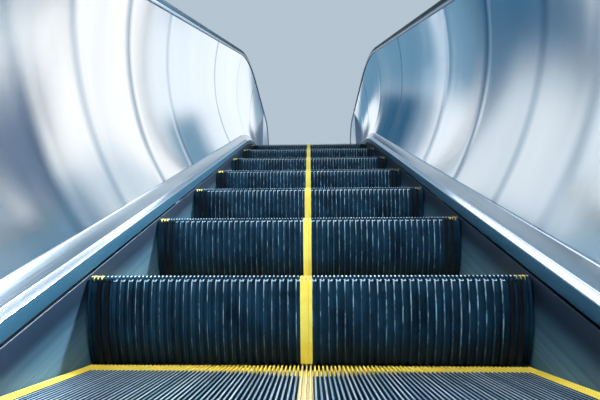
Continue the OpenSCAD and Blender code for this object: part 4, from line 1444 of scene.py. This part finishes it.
def newelMeshes(withButtons):
    look, slab, collar, rim, cap = newelLook, Shape(), Shape(), Shape(), Shape()
    (x0, x1), front, back, cz = look["boxX"], look["front"], look["back"], look["centreZ"]
    # rounded slab
    r = look["slabRadius"]
    slab.plate(arc(0, cz, r, 90, 270, 30) + [(back, cz - r), (back, cz + r)], *look["slabX"])
    made = [bevelled("slab", slab, "newelSteel", look["bevel"]), inletBox()]
    # rubber collar in the pocket's mouth
    (p0, p1), (z0, z1) = look["pocketX"], look["pocketZ"]
    (first, second, last), fit, c = look["collarDepths"], look["collarFit"], look["collar"]
    collar.skin([corners(p0 + d, p1 - d, z0 + d, z1 - d, front + y)
                 for d, y in ((fit, first), (c, second), (c, last), (fit, last))], roundRows=True)
    made.append(collar.mesh("collar", "blackPlastic"))
    # guide rim round the curve
    outline = [(-x, n) for x, n in look["rim"][:1]] + list(look["rim"])
    outline += [(-x, n) for x, n in reversed(look["rim"][1:])]
    radius, railX, turns = railLook["underRadius"], sideLook["railX"], railLook["turns"]
    rows = [[(railX + x, -(radius + n) * math.sin(a), cz - (radius + n) * math.cos(a))
             for x, n in outline] for a in (math.pi * i / turns for i in range(turns + 1))]
    rim.sweep(rows + [[(railX + x, back, cz + radius + n) for x, n in outline]])
    made.append(rim.mesh("rim", "guideAluminium", 25))
    # folded cap over the ends of the decks
    inner, outer, top = x0 + 0.002, x1 - 0.002, look["capTop"]
    folds = rounded([(outer, top), *look["capOuter"]], outerLook["fold"])
    section = deckLine(inner) + [Vector((inner, top)), Vector((outer, top))] + folds[1:]
    cap.sweep([[(p.x, y, p.y) for p in section] for y in (front, front + look["cap"])])
    made.append(cap.mesh("cap", "newelSteel", 35))
    if withButtons:
        for name, (place, finish, turns, smoothAngle, profile) in newelButtons.items():
            button = Shape()
            button.turned(profile, (x0, *look[place]), "x", turns)
            made.append(button.mesh(name, finish, smoothAngle))
        y, z = look["keyPlace"]
        keySlot = Shape()
        keySlot.box((x0 - 0.0026, y - 0.0008, z - 0.0045), (x0 - 0.0015, y + 0.0008, z + 0.0045))
        made.append(keySlot.mesh("keySlot", "blackPlastic"))
    return made


for side, label in sides:
    for upper, level in enumerate(("Lower", "Upper")):
        mesh = joinMeshes(f"{label}{level}NewelEnd", newelMeshes(side > 0))
        turn = Matrix.Diagonal((side, -1 if upper else 1, 1, 1))
        mesh.transform(Matrix.Translation((0, sideLook["newelY"][upper], levels[upper])) @ turn)
        if turn.determinant() < 0:
            mesh.flip_normals()
        pieceFrom(mesh, f"{label}{level}NewelEnd", f"{label}_{level.lower()}_newel")
print("newels are made")

# screws along the edges of the cladding
claddingLook = {
    "x": 0.7757,
    "heights": (0.030, -0.700),
    "from": 1.30,
    "to": 8.60,
    "spacing": 0.295,
    "radius": 0.006,
    "stand": 0.0016,
    "points": 240,
}


def alongTree():
    # repeats a part along a line at even distances
    tree, given = newTree("partsAlongLine", [
        ("Part", "Object", None), ("Spacing", "Float", 0.3), ("Finish", "Material", None)])
    curve = newNode(tree, "GeometryNodeMeshToCurve", {"Mesh": given["Geometry"]})
    places = newNode(tree, "GeometryNodeCurveToPoints", mode="LENGTH")
    plug(tree, curve, places.inputs["Curve"])
    plug(tree, given["Spacing"], places.inputs["Length"])
    real = repeated(tree, given, places)
    newNode(tree, "NodeGroupOutput", {0: coated(tree, real, given["Finish"])})
    return tree


placesTree = alongTree()
for side, label in sides:
    look, rows = claddingLook, []
    head = screwMesh(look["radius"], look["stand"], "x", 12)
    head.transform(Matrix.Diagonal((side, 1, 1, 1)))
    screw = newObject("claddingScrew", head)
    run = (look["to"] - look["from"]) / look["points"]
    stops = [look["from"] + run * i for i in range(look["points"] + 1)]
    for n in look["heights"]:
        line = outlineMesh([(side * look["x"], y, heightOver(y, n)) for y in stops])
        rows.append(runTree(placesTree, {
            "Part": screw, "Spacing": look["spacing"], "Finish": finishes["screwSteel"],
        }, "claddingRow", line))
    bpy.data.objects.remove(screw)
    mesh = joinMeshes(f"{label}CladdingScrews", rows)
    finishMesh(mesh)
    pieceFrom(mesh, f"{label}CladdingScrews")
print("cladding screws are placed")

# the other solids keep their shape and get their finish
solidFinish = {
    "outer_panels": "claddingSteel",
    "side_cladding": "claddingSteel",
    "handrail_guide": "guideAluminium",
    "truss": "framePaint",
    "step_track": "framePaint",
    "end_frame": "framePaint",
    "soffit": "claddingSteel",
}
for name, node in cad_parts.items():
    for ending, finish in solidFinish.items():
        if name.endswith(ending):
            node.data.materials.clear()
            node.data.materials.append(finishes[finish])
print("solids are coloured")

# floor and background
stageLook = {
    "floor": (0.46, 0.51, 0.56),
    "floorRoughness": 0.7,
    "floorSize": 60.0,
    "backdrop": (0.46, 0.555, 0.635),
}
size, lowest = stageLook["floorSize"] / 2, cadBox[0][2]
mesh = bpy.data.meshes.new("stageFloor")
corner = ((-size, -size), (size, -size), (size, size), (-size, size))
mesh.from_pydata([(x, y, lowest) for x, y in corner], [], [(0, 1, 2, 3)])
floorMaterial, floorTree, floorShader = newMaterial("stageFloor")
floorShader.inputs["Base Color"].default_value = (*stageLook["floor"], 1.0)
floorShader.inputs["Roughness"].default_value = stageLook["floorRoughness"]
mesh.materials.append(floorMaterial)
floor = newObject("stageFloor", mesh)

# soft light from all round; the screens are darker or lighter areas of it that the steel mirrors
# each screen: azimuth from +Y towards +X, height, half widths and softness in degrees, colour
softLight = {
    "low": (0.34, 0.47, 0.60),
    "high": (1.10, 1.16, 1.22),
    "heights": (56, 66),
    "screens": (
        (180, 0, 74, 42, 8, (0.16, 0.25, 0.34)),
        (126, 55, 34, 14, 6, (4.0, 4.0, 4.0)),
        (46, 7, 20, 12, 3, (2.6, 2.4, 2.25)),
        (44, 28, 22, 10, 4, (0.96, 1.02, 1.08)),
        (-38, 22, 16, 17, 3, (1.45, 1.40, 1.38)),
        (-38, 33, 9, 5, 3, (0.85, 0.94, 1.03)),
        (-48, 5, 5, 8, 2, (1.25, 1.30, 1.35)),
        (0, 29, 28, 9, 3, (1.00, 1.08, 1.16)),
        (12, 21, 14, 4, 1.5, (0.34, 0.46, 0.58)),
        (23, 32.9, 3.0, 1.7, 0.6, (0.10, 0.27, 0.42)),
        (-54, 40, 12.5, 12, 0.8, (0.09, 0.25, 0.40)),
        (-19.5, 26, 9.5, 4.2, 1.2, (0.14, 0.31, 0.47)),
        (-16, 32.4, 5.6, 2.1, 0.6, (0.0, 0.09, 0.20)),
        (-15.5, 28.8, 4.6, 1.4, 0.8, (0.13, 0.29, 0.44)),
        (-37, -2, 6.5, 7, 2, (0.08, 0.21, 0.36)),
        (29, 10.5, 9, 10.8, 3, (0.05, 0.17, 0.31)),
        (56, 36, 8, 12, 4, (0.20, 0.38, 0.52)),
        (47.5, 9.8, 5.6, 7.6, 1.2, (0.0, 0.10, 0.27)),
        (-22.4, 28, 0.4, 2.8, 0.3, (1.6, 1.7, 1.8)),
        (-20.1, 31.5, 0.35, 2.6, 0.3, (0.6, 0.8, 1.0)),
        (-118, 60, 52, 27, 6, (0.10, 0.18, 0.26)),
    ),
}


def lightAllRound():
    world = bpy.data.worlds.new("softLight")
    bpy.context.scene.world = world
    world.use_nodes = True
    tree = world.node_tree
    x, y, z = split(tree, newNode(tree, "ShaderNodeTexCoord").outputs["Generated"])
    azimuth = x.math("ARCTAN2", y) * (180 / math.pi)
    height = z.math("ARCSINE") * (180 / math.pi)

    def fade(value, inner, outer):
        return ranged(value, inner, outer, 1.0, 0.0, "SMOOTHSTEP")

    colour = mixColours(fade(height, *softLight["heights"]), softLight["high"], softLight["low"])
    for across, up, halfAcross, halfUp, soft, screenColour in softLight["screens"]:
        turned = (azimuth - across).math("WRAP", 180.0, -180.0).math("ABSOLUTE")
        raised = (height - up).math("ABSOLUTE")
        inside = (fade(turned, halfAcross - soft, halfAcross + soft)
                  * fade(raised, halfUp - soft, halfUp + soft))
        colour = mixColours(inside, colour, screenColour)
    seen = Sum(tree, newNode(tree, "ShaderNodeLightPath").outputs["Is Camera Ray"])
    shown = mixColours(seen, colour, stageLook["backdrop"])
    plug(tree, shown, tree.nodes["Background"].inputs["Color"])


lightAllRound()

lamps = {
    "overhead": {"place": (0.6, 7.5, 8.5), "aim": (0, 5.8, 1.8), "size": (1.2, 5),
                 "power": 60, "spread": 180, "colour": (0.93, 0.97, 1.0)},
    "frontLamp": {"place": (0.35, 2.0, 6.2), "aim": (-0.1, 5.6, 2.0), "size": (0.7, 0.7),
                  "power": 19, "spread": 44, "colour": (0.97, 0.98, 1.0)},
    "sideLamp": {"place": (3.9, 6.8, 6.7), "aim": (-0.6, 5.0, 1.65), "size": (0.5, 0.5),
                 "power": 140, "spread": 44, "colour": (0.95, 0.98, 1.0)},
}
# the narrow lamps leave the floor out, so that no pools of light lie on it
floorLeftOut = bpy.data.collections.new("floorLeftOut")
floorLeftOut.objects.link(floor)
floorLeftOut.collection_objects[0].light_linking.link_state = "EXCLUDE"
for name, lamp in lamps.items():
    data = bpy.data.lights.new(name, "AREA")
    data.shape = "RECTANGLE"
    data.size, data.size_y = lamp["size"]
    data.energy = lamp["power"]
    data.spread = math.radians(lamp["spread"])
    data.color = lamp["colour"]
    light = newObject(name, data)
    if lamp["spread"] < 180:
        light.light_linking.receiver_collection = floorLeftOut
    light.location = lamp["place"]
    aim = Vector(lamp["aim"]) - Vector(lamp["place"])
    light.rotation_euler = aim.to_track_quat("-Z", "Y").to_euler()
bpy.context.scene.view_settings.view_transform = "Standard"
print("stage is set")
